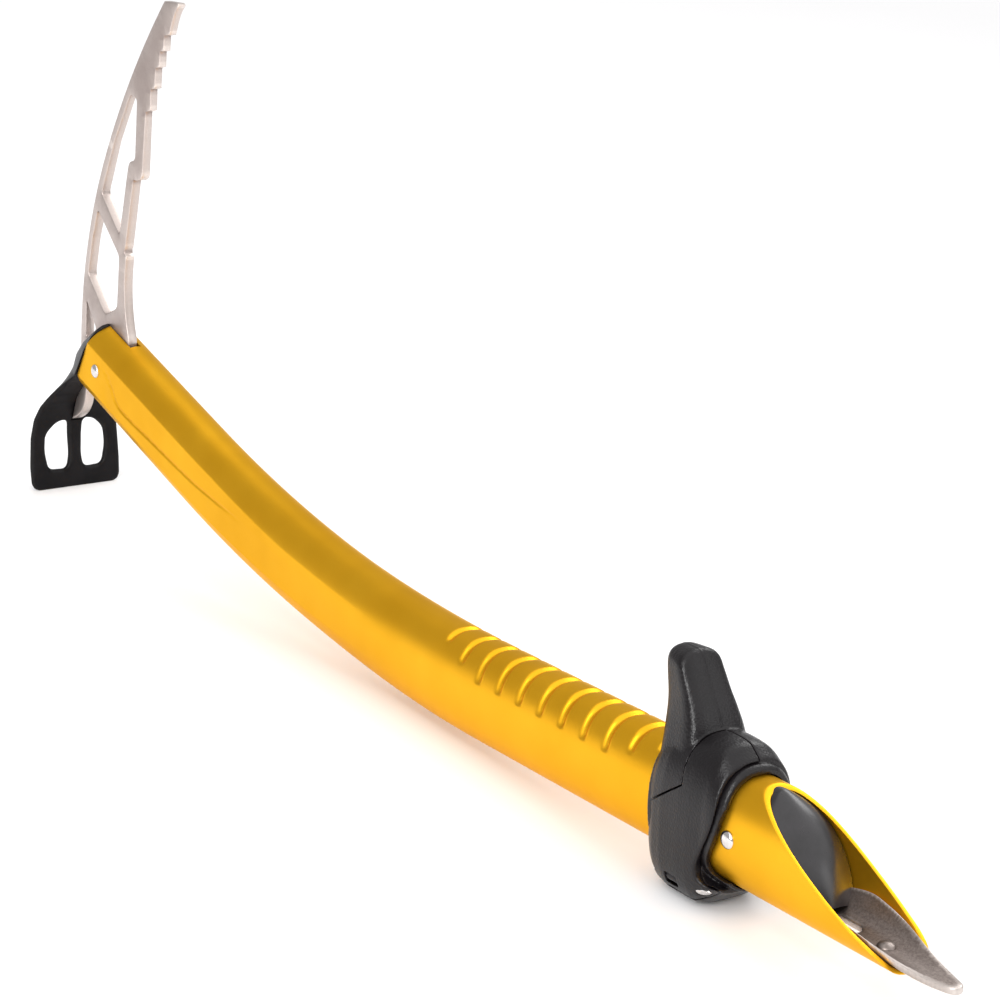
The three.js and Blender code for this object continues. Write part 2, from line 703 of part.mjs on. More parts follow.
function restBody() {
  const { from, to, radius } = KNUCKLE;
  const web = prism([[from, PIN.v - 1], [to, PIN.v - 1], [to, PIN.v + 1.3], [from, PIN.v + 1.3]], PIN.y, -6);
  const knuckle = bar(radius, from, to, PIN.y, PIN.v, 20).intersect(collar());
  return collar()
    .subtract(leverSpace(GAP))
    .add(innerRing(0))
    .add(horn().subtract(leverSpace(GAP)))
    .subtract(sweptRoom(0))
    .add(knuckle)
    .add(web)
    .subtract(restBore())
    .subtract(beyond(RING_FRONT))
    .subtract(padBox(-1, 10, 14.4, GAP))
    .subtract(padBox(1, 10, 13.9, GAP))
    .subtract(pinHole());
}

function clampLever() {
  const { from, to, cavity } = KNUCKLE;
  return collar()
    .intersect(leverSpace(0).add(sweptRoom(GAP)))
    .subtract(innerRing(GAP))
    .subtract(bar(cavity, from - GAP, to + GAP, PIN.y, PIN.v))
    .subtract(prism([[from - GAP, -30], [to + GAP, -30], [to + GAP, -12], [from - GAP, -12]], PIN.y, 0))
    .subtract(pinHole());
}

function frictionPad(side) {
  const outer = side > 0 ? 13.5 : 13.2; // the left pad reaches the lever, the right one its pocket
  return padBox(side, HALF_WIDTH + BORE_GAP - 0.1, outer, 0);
}

// ---- Assembly -----------------------------------------------------------------------------------

function fingerRest() {
  const group = new THREE.Group();
  const { centre, slope } = shaftFrame(REST_STATION);
  group.position.set(centre.x, 0, centre.y);
  group.rotation.y = -slope;
  group.add(
    piece('finger_rest_body', restBody(), grainedNylon()),
    piece('clamp_lever', clampLever(), grainedNylon()),
    piece('lever_pin', bar(PIN.radius, PIN.from, PIN.to, PIN.y, PIN.v, 20), polishedSteel()),
    piece('friction_pad_left', frictionPad(-1), softRubber()),
    piece('friction_pad_right', frictionPad(1), softRubber()),
  );
  return group;
}

function iceAxe() {
  const axe = new THREE.Group();
  const endRivet = endRivetAt();
  axe.add(
    piece('shaft_tube', shaftTube(), goldAnodised()),
    piece('pick_plate', pickPlate(), plainSteel()),
    piece('adze', adze(), blackLacquer()),
    piece('head_filler_left', headFiller(-1), blackLacquer()),
    piece('head_filler_right', headFiller(1), blackLacquer()),
    piece('head_rivet', crossRivet(0, 0, 10.3 + GAP), polishedSteel()),
    piece('end_plug', endPlug(), blackLacquer()),
    piece('end_rivet', crossRivet(endRivet.x, endRivet.z, HALF_WIDTH + GAP), polishedSteel()),
    piece('spike_blade', spikeBlade(), plainSteel()),
    piece('spike_rivet', spikeRivet(), polishedSteel()),
    fingerRest(),
  );
  axe.position.set(-(BACK_X + TIP_X) / 2, 0, -TABLE_Z);
  return axe;
}

export default iceAxe();
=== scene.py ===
import json
import math

import bmesh
import bpy
import numpy as np
from mathutils import Matrix, Vector
from mathutils.geometry import delaunay_2d_cdt

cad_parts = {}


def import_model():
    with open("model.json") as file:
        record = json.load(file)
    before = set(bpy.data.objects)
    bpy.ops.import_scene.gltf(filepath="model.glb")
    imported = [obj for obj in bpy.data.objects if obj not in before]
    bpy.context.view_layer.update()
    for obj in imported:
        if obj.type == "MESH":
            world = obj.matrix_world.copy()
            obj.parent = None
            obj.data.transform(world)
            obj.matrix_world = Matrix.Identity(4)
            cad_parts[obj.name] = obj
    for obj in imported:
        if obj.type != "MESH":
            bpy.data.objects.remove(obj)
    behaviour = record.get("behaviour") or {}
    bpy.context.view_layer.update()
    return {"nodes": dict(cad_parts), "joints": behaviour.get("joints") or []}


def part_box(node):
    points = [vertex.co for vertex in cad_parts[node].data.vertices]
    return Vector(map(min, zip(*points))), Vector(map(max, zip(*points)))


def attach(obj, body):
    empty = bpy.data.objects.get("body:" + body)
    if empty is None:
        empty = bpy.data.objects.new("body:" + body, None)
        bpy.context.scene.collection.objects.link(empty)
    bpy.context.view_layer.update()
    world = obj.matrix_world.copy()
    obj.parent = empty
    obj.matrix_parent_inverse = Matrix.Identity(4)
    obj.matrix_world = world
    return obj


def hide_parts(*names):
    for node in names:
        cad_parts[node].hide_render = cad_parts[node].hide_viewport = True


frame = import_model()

MM = 0.001


def centre(node):
    """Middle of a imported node's box, in metres."""
    low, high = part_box(node)
    return np.array((low + high) / 2)


# Lengths in this script are millimetres in the drawing frame of the axe: the head rivet is at x = 0,
# z = 0, +X runs to the spike and +Z is up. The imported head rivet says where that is, in metres.
DRAWING_ZERO = centre("head_rivet")


def world(points):
    """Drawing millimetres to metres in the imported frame."""
    return DRAWING_ZERO + np.asarray(points, float) * MM


def smooth(x, low, high):
    """Rises smoothly from 0 at low to 1 at high."""
    t = np.clip((x - low) / (high - low), 0, 1)
    return t * t * (3 - 2 * t)


def angles_round(count):
    """Angles round a circle, half a step away from its axes."""
    return (np.arange(count) + 0.5) / count * 2 * math.pi


def signed_power(wave, power):
    """A sine or cosine raised to a power that keeps its sign."""
    return np.sign(wave) * np.abs(wave) ** power


# ---- Meshes -------------------------------------------------------------------------------------

def linked(name, data):
    """New object in the scene that holds some data."""
    made = bpy.data.objects.new(name, data)
    bpy.context.scene.collection.objects.link(made)
    return made


def new_piece(name, vertices, faces, sharp=40):
    """A mesh object from metres, shaded smooth except at edges sharper than an angle in degrees."""
    mesh = bpy.data.meshes.new(name)
    mesh.from_pydata([tuple(v) for v in vertices], [], [tuple(f) for f in faces])
    mesh.validate()
    made = bmesh.new()
    made.from_mesh(mesh)
    bmesh.ops.remove_doubles(made, verts=made.verts, dist=2e-6)
    bmesh.ops.recalc_face_normals(made, faces=made.faces)
    made.to_mesh(mesh)
    made.free()
    piece = linked(name, mesh)
    shade(piece, sharp)
    return piece


def shade(piece, sharp):
    """Smooth shading except at edges sharper than an angle in degrees."""
    for polygon in piece.data.polygons:
        polygon.use_smooth = True
    piece.data.set_sharp_from_angle(angle=math.radians(sharp))


def grid_faces(rows, columns, closed=True):
    """Quads over a grid of vertices stored row by row."""
    faces = []
    last = columns if closed else columns - 1
    for i in range(rows - 1):
        for k in range(last):
            a = i * columns + k
            b = i * columns + (k + 1) % columns
            faces.append((a, b, b + columns, a + columns))
    return faces


def skin(name, loops):
    """Closed skin over loops of equal length, given in metres, with flat ends."""
    loops = np.asarray(loops)
    rows, columns = loops.shape[:2]
    faces = grid_faces(rows, columns)
    faces.append(tuple(range(columns))[::-1])
    faces.append(tuple((rows - 1) * columns + k for k in range(columns)))
    return new_piece(name, loops.reshape(-1, 3), faces)


def apply_modifiers(piece):
    """Makes what the modifiers show the piece's own mesh."""
    depsgraph = bpy.context.evaluated_depsgraph_get()
    mesh = bpy.data.meshes.new_from_object(piece.evaluated_get(depsgraph))
    piece.modifiers.clear()
    piece.data = mesh


def combine(piece, cutter, operation="DIFFERENCE"):
    """Boolean of a piece with a cutter, which is then removed."""
    modifier = piece.modifiers.new("boolean", "BOOLEAN")
    modifier.operation = operation
    modifier.solver = "MANIFOLD"
    modifier.object = cutter
    apply_modifiers(piece)
    bpy.data.objects.remove(cutter)


def soften(piece, voxel, rounds, sharp=60):
    """Rebuilds a piece on a fine grid, in millimetres, and relaxes its edges to small radii."""
    remesh = piece.modifiers.new("remesh", "REMESH")
    remesh.mode = "VOXEL"
    remesh.voxel_size = voxel * MM
    relax = piece.modifiers.new("relax", "SMOOTH")
    relax.factor = 0.5
    relax.iterations = rounds
    apply_modifiers(piece)
    shade(piece, sharp)


def prism(name, outline, y0, y1, place=world):
    """Side outline in x and z, extruded across the axe."""
    outline = np.asarray(outline, float)
    loops = [place(np.c_[outline[:, 0], np.full(len(outline), y), outline[:, 1]]) for y in (y0, y1)]
    return skin(name, loops)


def prism_up(name, outline, z0, z1):
    """Plan outline in x and y, extruded upright."""
    loops = [world(np.c_[outline, np.full(len(outline), z)]) for z in (z0, z1)]
    return skin(name, loops)


def bezier(start, pull, end, steps=14):
    """Curve from a start, which is left out, to an end, pulled towards a third point."""
    t = np.linspace(0, 1, steps + 1)[1:, None]
    start, pull, end = (np.array(p, float) for p in (start, pull, end))
    return (1 - t) ** 2 * start + 2 * t * (1 - t) * pull + t ** 2 * end


def spline(points, steps):
    """Smooth curve through points, with a number of steps between each two."""
    points = np.asarray(points, float)
    padded = np.vstack([points[0], points, points[-1]])
    t = np.linspace(0, 1, steps, endpoint=False)[:, None]
    curve = []
    for p0, p1, p2, p3 in zip(padded, padded[1:], padded[2:], padded[3:]):
        v0, v1 = (p2 - p0) / 2, (p3 - p1) / 2
        cubic = 2 * p1 - 2 * p2 + v0 + v1
        square = 3 * p2 - 3 * p1 - 2 * v0 - v1
        curve.extend(cubic * t ** 3 + square * t ** 2 + v0 * t + p1)
    return np.array(curve + [points[-1]])


def rounded(corners, radius, steps=6):
    """Closed outline whose corners are rounded."""
    corners = np.asarray(corners, float)
    points = []
    for k, corner in enumerate(corners):
        ends = []
        for other in (corners[k - 1], corners[(k + 1) % len(corners)]):
            away = other - corner
            length = np.linalg.norm(away)
            ends.append(corner + away / length * min(radius, length * 0.45))
        points.append(ends[0])
        points.extend(bezier(ends[0], corner, ends[1], steps))
    return np.array(points)


def resample(loop, spacing):
    """Closed loop with points no farther apart than a spacing; its corners are kept."""
    points = []
    for a, b in zip(loop, np.roll(loop, -1, axis=0)):
        length = np.linalg.norm(b - a)
        if length < 1e-6:
            continue
        steps = max(1, math.ceil(length / spacing))
        for t in np.arange(steps):
            points.append(a + (b - a) * t / steps)
    return np.array(points)


def inward(loop, solid_left):
    """Unit vectors that point from a closed loop into the material."""
    along = np.roll(loop, -1, axis=0) - np.roll(loop, 1, axis=0)
    along /= np.maximum(np.linalg.norm(along, axis=1), 1e-9)[:, None]
    turn = np.c_[-along[:, 1], along[:, 0]]
    return turn if solid_left else -turn


def area(loop):
    """Area of a closed loop, positive where it runs anticlockwise."""
    x, y = loop[:, 0], loop[:, 1]
    return 0.5 * np.sum(x * np.roll(y, -1) - np.roll(x, -1) * y)


def inside(points, loop):
    """Which points lie inside a closed loop."""
    found = np.zeros(len(points), bool)
    x, y = points[:, 0], points[:, 1]
    for (x0, y0), (x1, y1) in zip(loop, np.roll(loop, -1, axis=0)):
        crosses = (y0 > y) != (y1 > y)
        with np.errstate(divide="ignore", invalid="ignore"):
            found ^= crosses & (x < (x1 - x0) * (y - y0) / (y1 - y0) + x0)
    return found


def distance(points, loop):
    """Distance of points from a closed loop."""
    best = np.full(len(points), 1e9)
    for a, b in zip(loop, np.roll(loop, -1, axis=0)):
        step = b - a
        t = np.clip(((points - a) @ step) / max(step @ step, 1e-12), 0, 1)
        best = np.minimum(best, np.linalg.norm(points - a - t[:, None] * step, axis=1))
    return best


def plate(name, outline, holes, place, fillet, share, spacing, edge_spacing, sharp):
    """Plate over an outline with holes. place(points, side) gives metres for side from -1 to 1 through
    the thickness; fillet is the in-plane radius of the rims, and share the part of the half thickness
    that the rounding takes. The points of the field and of the rims are the given spacings apart."""
    loops = [resample(np.asarray(loop, float), edge_spacing) for loop in [outline, *holes]]
    loops = [loop if area(loop) > 0 else loop[::-1] for loop in loops]
    profile = [(0.0, 1 - share), (0.3, 1 - share * 0.35), (1.0, 1.0)]
    points, sides, edges, rims = [], [], [], []
    for n, loop in enumerate(loops):
        normal = inward(loop, solid_left=n == 0)
        for out, side in profile:
            first = len(points)
            points.extend(loop + normal * fillet * out)
            sides.extend([side] * len(loop))
            if out == 0.0:
                rims.append((first, len(loop)))
                edges.extend((first + k, first + (k + 1) % len(loop)) for k in range(len(loop)))
    low, high = loops[0].min(0), loops[0].max(0)
    xs = np.arange(low[0], high[0], spacing)
    ys = np.arange(low[1], high[1], spacing * 0.866)
    field = np.array([(x + (j % 2) * spacing / 2, y) for j, y in enumerate(ys) for x in xs])
    keep = inside(field, loops[0])
    for n, loop in enumerate(loops):
        if n:
            keep &= ~inside(field, loop)
        keep &= distance(field, loop) > fillet + spacing * 0.45
    points.extend(field[keep])
    sides.extend([1.0] * int(keep.sum()))
    flat, _, faces, origins, _, _ = delaunay_2d_cdt([Vector(p) for p in points], edges, [], 1, 1e-6)
    side = np.array([sides[o[0]] if o else 1.0 for o in origins])
    flat = np.array([tuple(p) for p in flat])
    middles = np.array([flat[list(f)].mean(0) for f in faces])
    solid = ~np.any([inside(middles, loop) for loop in loops[1:]] or [np.zeros(len(middles), bool)], axis=0)
    faces = [f for f, kept in zip(faces, solid) if kept]
    index = {source: k for k, found in enumerate(origins) for source in found}
    count = len(flat)
    vertices = np.vstack([place(flat, side), place(flat, -side)])
    skin_faces = [tuple(f) for f in faces] + [tuple(v + count for v in f)[::-1] for f in faces]
    for first, length in rims:
        for k in range(length):
            a, b = index[first + k], index[first + (k + 1) % length]
            skin_faces.append((a, b, b + count, a + count))
    return new_piece(name, vertices, skin_faces, sharp)


def turned(name, profile, place):
    """Solid of revolution: profile holds radius and height; place maps x, y, height to metres."""
    sides = 48
    turn = np.linspace(0, 2 * math.pi, sides, endpoint=False)
    return skin(name, [
        place(np.c_[radius * np.cos(turn), radius * np.sin(turn), np.full(sides, height)])
        for radius, height in profile
    ])


# ---- Materials ----------------------------------------------------------------------------------

class Surface:
    """A procedural material: a principled shader and short ways to feed it."""

    def __init__(self, name, **inputs):
        self.material = bpy.data.materials.new(name)
        self.material.use_nodes = True
        self.tree = self.material.node_tree
        self.shader = self.tree.nodes["Principled BSDF"]
        self.place = self.node("ShaderNodeTexCoord").outputs["Object"]
        for key, value in inputs.items():
            self.shader.inputs[key.replace("_", " ")].default_value = value

    def node(self, kind, **settings):
        """New node; a setting is one of its properties or one of its inputs."""
        node = self.tree.nodes.new(kind)
        for key, value in settings.items():
            if hasattr(node, key):
                setattr(node, key, value)
            else:
                node.inputs[key.replace("_", " ")].default_value = value
        return node

    def link(self, source, target):
        self.tree.links.new(source, target)

    def stretched(self, scale):
        """Object coordinates, in metres, scaled by three factors."""
        mapping = self.node("ShaderNodeMapping")
        mapping.inputs["Scale"].default_value = scale
        self.link(self.place, mapping.inputs["Vector"])
        return mapping.outputs["Vector"]

    def noise(self, size, detail=3.0, roughness=0.55, stretch=(1, 1, 1)):
        """Noise whose grain is about size millimetres."""
        node = self.node("ShaderNodeTexNoise", Detail=detail, Roughness=roughness, Scale=1000 / size)
        self.link(self.stretched(stretch), node.inputs["Vector"])
        return node.outputs["Fac"]

    def towards_spike(self):
        """0 over most of the axe, 1 at its spike end; the stops are metres along X."""
        split = self.node("ShaderNodeSeparateXYZ")
        self.link(self.place, split.inputs["Vector"])
        return self.ramp(split.outputs["X"], (0.19, 0.0), (0.22, 1.0))

    def cells(self, size):
        """Cells about size millimetres across."""
        node = self.node("ShaderNodeTexVoronoi", Scale=1000 / size)
        self.link(self.place, node.inputs["Vector"])
        return node.outputs["Distance"]

    def ramp(self, source, *stops):
        """Colour ramp from stops of position and grey or colour."""
        node = self.node("ShaderNodeValToRGB")
        elements = node.color_ramp.elements
        while len(elements) < len(stops):
            elements.new(0.5)
        for element, (position, value) in zip(elements, stops):
            element.position = position
            element.color = (*value, 1) if isinstance(value, tuple) else (value, value, value, 1)
        self.link(source, node.inputs["Fac"])
        return node.outputs["Color"]

    def between(self, source, low, high):
        """Maps 0 to 1 onto a range."""
        node = self.node("ShaderNodeMapRange")
        node.inputs["To Min"].default_value = low
        node.inputs["To Max"].default_value = high
        self.link(source, node.inputs["Value"])
        return node.outputs["Result"]

    def mix(self, amount, a, b):
        """Mixes two colours or sockets by an amount, which may be a socket too."""
        node = self.node("ShaderNodeMix", data_type="RGBA")
        sockets = [s for s in node.inputs if s.enabled]
        for value, socket in zip((amount, a, b), sockets):
            if isinstance(value, bpy.types.NodeSocket):
                self.link(value, socket)
            elif isinstance(value, tuple):
                socket.default_value = (*value, 1)
            else:
                socket.default_value = value
        return [s for s in node.outputs if s.enabled][0]

    def edges(self, low, high):
        """1 on sharp outer edges, from the mesh's own pointiness; the materials lighten these edges with it
        as a painted highlight.
        """
        geometry = self.node("ShaderNodeNewGeometry")
        return self.ramp(geometry.outputs["Pointiness"], (low, 0.0), (high, 1.0))

    def bump(self, *layers):
        """Stacks bumps of height source, strength and distance in millimetres."""
        normal = None
        for source, strength, depth in layers:
            node = self.node("ShaderNodeBump", Strength=strength, Distance=depth * MM)
            self.link(source, node.inputs["Height"])
            if normal:
                self.link(normal, node.inputs["Normal"])
            normal = node.outputs["Normal"]
        self.link(normal, self.shader.inputs["Normal"])

    def feed(self, socket, source):
        """Links a source to one of the shader's inputs."""
        self.link(source, self.shader.inputs[socket])


def gold_anodised():
    s = Surface("gold_anodised", Metallic=0.92, Specular_Tint=(1.0, 0.86, 0.55, 1.0))
    cloud = s.noise(26, 2)
    fine = s.noise(0.35, 2, 0.7)
    base = s.ramp(cloud, (0.3, (0.80, 0.405, 0.013)), (0.7, (0.86, 0.45, 0.018)))
    s.feed("Base Color", s.mix(s.between(fine, 0.0, 0.22), base, (0.60, 0.28, 0.007)))
    s.feed("Roughness", s.between(s.noise(9, 3), 0.30, 0.42))
    s.bump((fine, 0.25, 0.03), (s.noise(3, 2, stretch=(0.2, 1, 1)), 0.10, 0.02))
    return s.material


def sanded_steel():
    s = Surface("sanded_steel", Metallic=0.92)
    cloud = s.noise(14, 4, 0.6)
    speck = s.noise(0.5, 3, 0.7)
    base = s.ramp(cloud, (0.25, (0.36, 0.295, 0.27)), (0.75, (0.47, 0.395, 0.365)))
    # The steel lightened on its sharp edges: a painted highlight.
    edge_highlighted = s.mix(s.edges(0.51, 0.56), base, (0.82, 0.74, 0.69))
    bright = s.mix(s.between(speck, 0.0, 0.45), edge_highlighted, (0.30, 0.24, 0.22))
    mottle = s.ramp(s.noise(0.8, 4, 0.75), (0.35, (0.17, 0.135, 0.12)), (0.7, (0.31, 0.26, 0.235)))
    # The spike's stone-washed mottle, lightened on its sharp edges as a painted highlight.
    tumbled = s.mix(s.edges(0.51, 0.56), mottle, (0.62, 0.56, 0.52))
    s.feed("Base Color", s.mix(s.towards_spike(), bright, tumbled))
    s.feed("Roughness", s.between(s.noise(2.0, 4, 0.7), 0.30, 0.52))
    s.bump((speck, 0.35, 0.04), (s.noise(1.2, 3, stretch=(1, 1, 0.15)), 0.15, 0.03))
    return s.material


def black_lacquer():
    s = Surface("black_lacquer", Specular_IOR_Level=0.07, Coat_Weight=0.08, Coat_Roughness=0.12)
    cloud = s.noise(10, 4, 0.6)
    base = s.ramp(cloud, (0.3, (0.0045, 0.004, 0.0045)), (0.7, (0.009, 0.008, 0.009)))
    # Lighter on its sharp edges: a painted highlight.
    s.feed("Base Color", s.mix(s.edges(0.53, 0.60), base, (0.03, 0.028, 0.028)))
    s.feed("Roughness", s.between(s.noise(3.0, 4, 0.6), 0.30, 0.48))
    s.bump((s.noise(2.2, 3), 0.25, 0.05), (s.noise(0.3, 2), 0.12, 0.02))
    return s.material


def gloss_insert():
    s = Surface("gloss_insert", Specular_IOR_Level=0.4, Coat_Weight=0.3, Coat_Roughness=0.2)
    cloud = s.noise(7, 4, 0.65)
    s.feed("Base Color", s.ramp(cloud, (0.3, (0.006, 0.005, 0.006)), (0.7, (0.014, 0.012, 0.014))))
    s.feed("Roughness", s.between(s.noise(4.0, 5, 0.7), 0.22, 0.38))
    s.bump((s.noise(5, 3), 0.20, 0.06), (s.noise(0.5, 3), 0.10, 0.015))
    return s.material


def grained_nylon():
    s = Surface("grained_nylon", Specular_IOR_Level=0.30)
    grain = s.cells(0.75)
    cloud = s.noise(8, 3)
    base = s.ramp(cloud, (0.3, (0.0045, 0.0036, 0.0042)), (0.7, (0.0075, 0.006, 0.007)))
    # Lighter on its sharp edges and fillets: a painted highlight.
    s.feed("Base Color", s.mix(s.edges(0.52, 0.60), base, (0.018, 0.015, 0.017)))
    s.feed("Roughness", s.between(s.noise(0.5, 2, 0.7), 0.22, 0.40))
    s.bump((grain, 0.8, 0.08), (s.noise(0.4, 2, 0.8), 0.6, 0.06))
    return s.material


def rivet_steel():
    s = Surface("rivet_steel", Metallic=1.0)
    ring = s.noise(1.4, 3, 0.6)
    bright = s.ramp(ring, (0.3, (0.60, 0.57, 0.56)), (0.7, (0.82, 0.80, 0.79)))
    tumbled = s.ramp(ring, (0.3, (0.17, 0.14, 0.125)), (0.7, (0.28, 0.24, 0.22)))
    s.feed("Base Color", s.mix(s.towards_spike(), bright, tumbled))
    s.feed("Roughness", s.between(s.mix(0.6, s.noise(0.6, 4, 0.7), s.towards_spike()), 0.14, 0.42))
    s.bump((s.noise(0.5, 3, 0.7), 0.15, 0.02))
    return s.material


def soft_rubber():
    s = Surface("soft_rubber")
    s.feed("Base Color", s.ramp(s.noise(3, 3), (0.3, (0.012, 0.012, 0.012)), (0.7, (0.026, 0.026, 0.026))))
    s.feed("Roughness", s.between(s.noise(0.8, 3), 0.70, 0.90))
    s.bump((s.noise(0.4, 3, 0.8), 0.5, 0.05))
    return s.material


# One material for each of the record's slots.
FINISHES = {
    "gold_shaft": gold_anodised(),
    "steel_plate": sanded_steel(),
    "black_adze": black_lacquer(),
    "black_insert": gloss_insert(),
    "rivet_steel": rivet_steel(),
    "grained_nylon": grained_nylon(),
    "rubber_pad": soft_rubber(),
}


def finish(piece, slot, body, node):
    """Gives a piece its material, the body that it rides on and the node that it stands for."""
    piece.data.materials.clear()
    piece.data.materials.append(FINISHES[slot])
    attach(piece, body)
    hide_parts(node)


# ---- Shaft --------------------------------------------------------------------------------------

# Along the shaft, stations are measured from the start of the bend; heights are above the centre line.
HALF_WIDTH = 11.7  # of the oval; the side facets lie inside it
HALF_DEPTH = 16.8
WALL = 1.2
BED = WALL + 0.3  # how far inside the shaft's outer surface the plug and the spike lie
HEAD_SLOPE = math.radians(-14.04)
GRIP_SLOPE = math.radians(2.62)
BEND_RADIUS = 700.0
BEND_START = (72.4, -19.0)  # x and z
BEND_LENGTH = BEND_RADIUS * (GRIP_SLOPE - HEAD_SLOPE)
GRIP_ZERO = BEND_LENGTH + 25.8  # station from which the spike end is set out
GRIP_ZERO_X = 300  # and its x
GRIP_POWER = 2.4  # exponent of the grip's oval
GROOVES = 11
GROOVE_PITCH = 11.36
FIRST_GROOVE = GRIP_ZERO - 44.1
LAST_GROOVE = FIRST_GROOVE + (GROOVES - 1) * GROOVE_PITCH
GROOVE_DEPTH, GROOVE_WIDTH = 0.85, 1.25
LINE_DEPTH, LINE_WIDTH = 0.45, 0.6  # of the line pressed into the side facet
FALL_DEPTH = 0.30  # of the shallow hollow below that line
SLOT_HALF = 2.3  # half width of the slot for the pick and of the room for its tail
SLOT_END_X = 14.8
EVEN_START = -61.6  # station from which the tube's rows stand square; before it they lean into the head end
LEASH_SLOT = (438.0, 450.4, 2.7)  # in the spike: both ends and half width
WALL_SLOT = (431.5, 452.0, 6.4)  # the wider one in the shaft's wall
HEAD_CUT = (-3.2, 17.0, math.tan(math.radians(30.5)))  # x and z of its top, and its lean
RIM = ((0.08, 0.07), (0.3, 0), (0.9, 0), (1.12, 0.07))  # depth into the wall, and distance from the end
RIM_START = 0.25  # distance from the end at which the rounding of a rim starts
SCOOP = [  # its edge, along the grip and above the axis
    (96, 30), (103, 22.5), (111.7, 17), (121.8, 11.6), (132, 5.9), (141.6, 0.7), (149.5, -3.4), (157, -7.1),
    (164, -10.3), (168.8, -13.2), (171, -17), (171.2, -24),
]


def axis_at(station):
    """Centre line x and z, and slope, at stations measured from the start of the bend."""
    turned_by = np.clip(station, 0, BEND_LENGTH)
    slope = HEAD_SLOPE + turned_by / BEND_RADIUS
    straight = station - turned_by
    x = BEND_START[0] + BEND_RADIUS * (np.sin(slope) - math.sin(HEAD_SLOPE)) + straight * np.cos(slope)
    z = BEND_START[1] - BEND_RADIUS * (np.cos(slope) - math.cos(HEAD_SLOPE)) + straight * np.sin(slope)
    return x, z, slope


def beside_axis(station, y, v):
    """Points at a station, a distance across and a height above the centre line."""
    x, z, slope = axis_at(np.asarray(station, float))
    return np.stack([x - v * np.sin(slope), y + 0 * x, z + v * np.cos(slope)], axis=-1)


def oval_y(v, power, half_width=HALF_WIDTH, half_depth=HALF_DEPTH):
    """Half width of the oval at a height."""
    return half_width * (1 - np.clip(np.abs(v) / half_depth, 0, 1) ** power) ** (1 / power)


def crease_height(station):
    """Height of the crease above the side facet, which sinks towards the grip."""
    return np.interp(station, [23, 78], [8.4, 7.1])


def section(station, part, share):
    """Quarter section: part 0 crosses the slot, part 1 is round, part 2 is the side facet. The facet
    fades out before the grip, where the oval becomes fuller."""
    power = 2.05 + 0.35 * smooth(station, 100, 190)
    crease = crease_height(station)
    flat = oval_y(crease, power)
    fade = smooth(station, 92, 150)
    turn_slot = np.arccos((SLOT_HALF / HALF_WIDTH) ** (power / 2))
    turn_crease = np.arcsin((crease / HALF_DEPTH) ** (power / 2))
    turn = turn_slot + (turn_crease - turn_slot) * share
    y_slot = SLOT_HALF * share
    v_slot = HALF_DEPTH * (1 - (y_slot / HALF_WIDTH) ** power) ** (1 / power)
    y_round = HALF_WIDTH * np.cos(turn) ** (2 / power)
    v_round = HALF_DEPTH * np.sin(turn) ** (2 / power)
    v_side = crease * (1 - share)
    y_side = flat + (oval_y(v_side, power) - flat) * fade
    y = np.choose(part, [y_slot + 0 * station, y_round, y_side])
    v = np.choose(part, [v_slot, v_round, v_side])
    return y, v


def shaft_columns():
    """Columns round the section, from the middle of the pick side and on past the right side: part,
    share, and the signs of y and of the height."""
    quarter = [(0, k / 4) for k in range(4)]
    quarter += [(1, k / 24) for k in range(24)]
    quarter += [(2, k / 28) for k in range(29)]
    right = [(part, share, 1, 1) for part, share in quarter]
    right += [(part, share, 1, -1) for part, share in quarter[-2:0:-1]]
    left = [(0, 0.0, 1, -1)]
    left += [(part, share, -1, -1) for part, share in quarter[1:]]
    left += [(part, share, -1, 1) for part, share in quarter[-2:0:-1]]
    return [np.array(c) for c in zip(*(right + left))]


# The line pressed into the side facet: stations and heights above the centre line.
LINE = np.array([
    (-66.9, 5.1), (-63.6, 3.0), (-60.1, 1.0), (-56.4, -2.2), (-52.5, -3.5), (-47.5, -3.8), (-39.0, -3.5),
    (-27.2, -2.7), (-8.5, -1.8), (9.9, -0.7), (31.2, 1.4), (51.9, 3.5),
])


def facet_dent(station, v):
    """How far the side is pressed in: a thin line, and a shallow fall below it."""
    best = np.full(station.shape, 1e9)
    for (s0, v0), (s1, v1) in zip(LINE[:-1], LINE[1:]):
        square = (s1 - s0) ** 2 + (v1 - v0) ** 2
        t = np.clip(((station - s0) * (s1 - s0) + (v - v0) * (v1 - v0)) / square, 0, 1)
        best = np.minimum(best, np.hypot(station - s0 - t * (s1 - s0), v - v0 - t * (v1 - v0)))
    below = np.interp(station, LINE[:, 0], LINE[:, 1]) - v
    reach = smooth(station, LINE[0, 0] - 1, LINE[0, 0] + 3) * (1 - smooth(station, 80, 130))
    fall = FALL_DEPTH * np.clip(below / 9, 0, 1) * reach * (1 - smooth(-v, 9, 12.5))
    return LINE_DEPTH * np.exp(-(best / LINE_WIDTH) ** 2) * (1 - smooth(station, 28, 52)) + fall


def groove_dent(station, v):
    """Pressed grip grooves; the outer ones are shorter, so the field ends in a point."""
    nearest = np.clip(np.round((station - FIRST_GROOVE) / GROOVE_PITCH), 0, GROOVES - 1)
    from_end = np.minimum(nearest, GROOVES - 1 - nearest)
    low_end = np.maximum(7.2, 13.9 - 3.5 * from_end)
    offset = (station - FIRST_GROOVE - nearest * GROOVE_PITCH) / GROOVE_WIDTH
    return GROOVE_DEPTH * np.exp(-np.abs(offset) ** 2.4) * smooth(v, low_end - 0.8, low_end + 1.2)


def scoop_end(v):
    """Station of the scoop's edge at a height above the centre line."""
    edge = spline(SCOOP, 16)
    return GRIP_ZERO + np.interp(-v, -edge[:, 1], edge[:, 0])


def head_end(v):
    """Station of the slanted head end at a height above the centre line."""
    x0, z0, lean = HEAD_CUT
    c, s = math.cos(HEAD_SLOPE), math.sin(HEAD_SLOPE)
    return ((x0 + lean * (BEND_START[1] + v * c - z0)) - BEND_START[0] + v * s) / (c - lean * s)


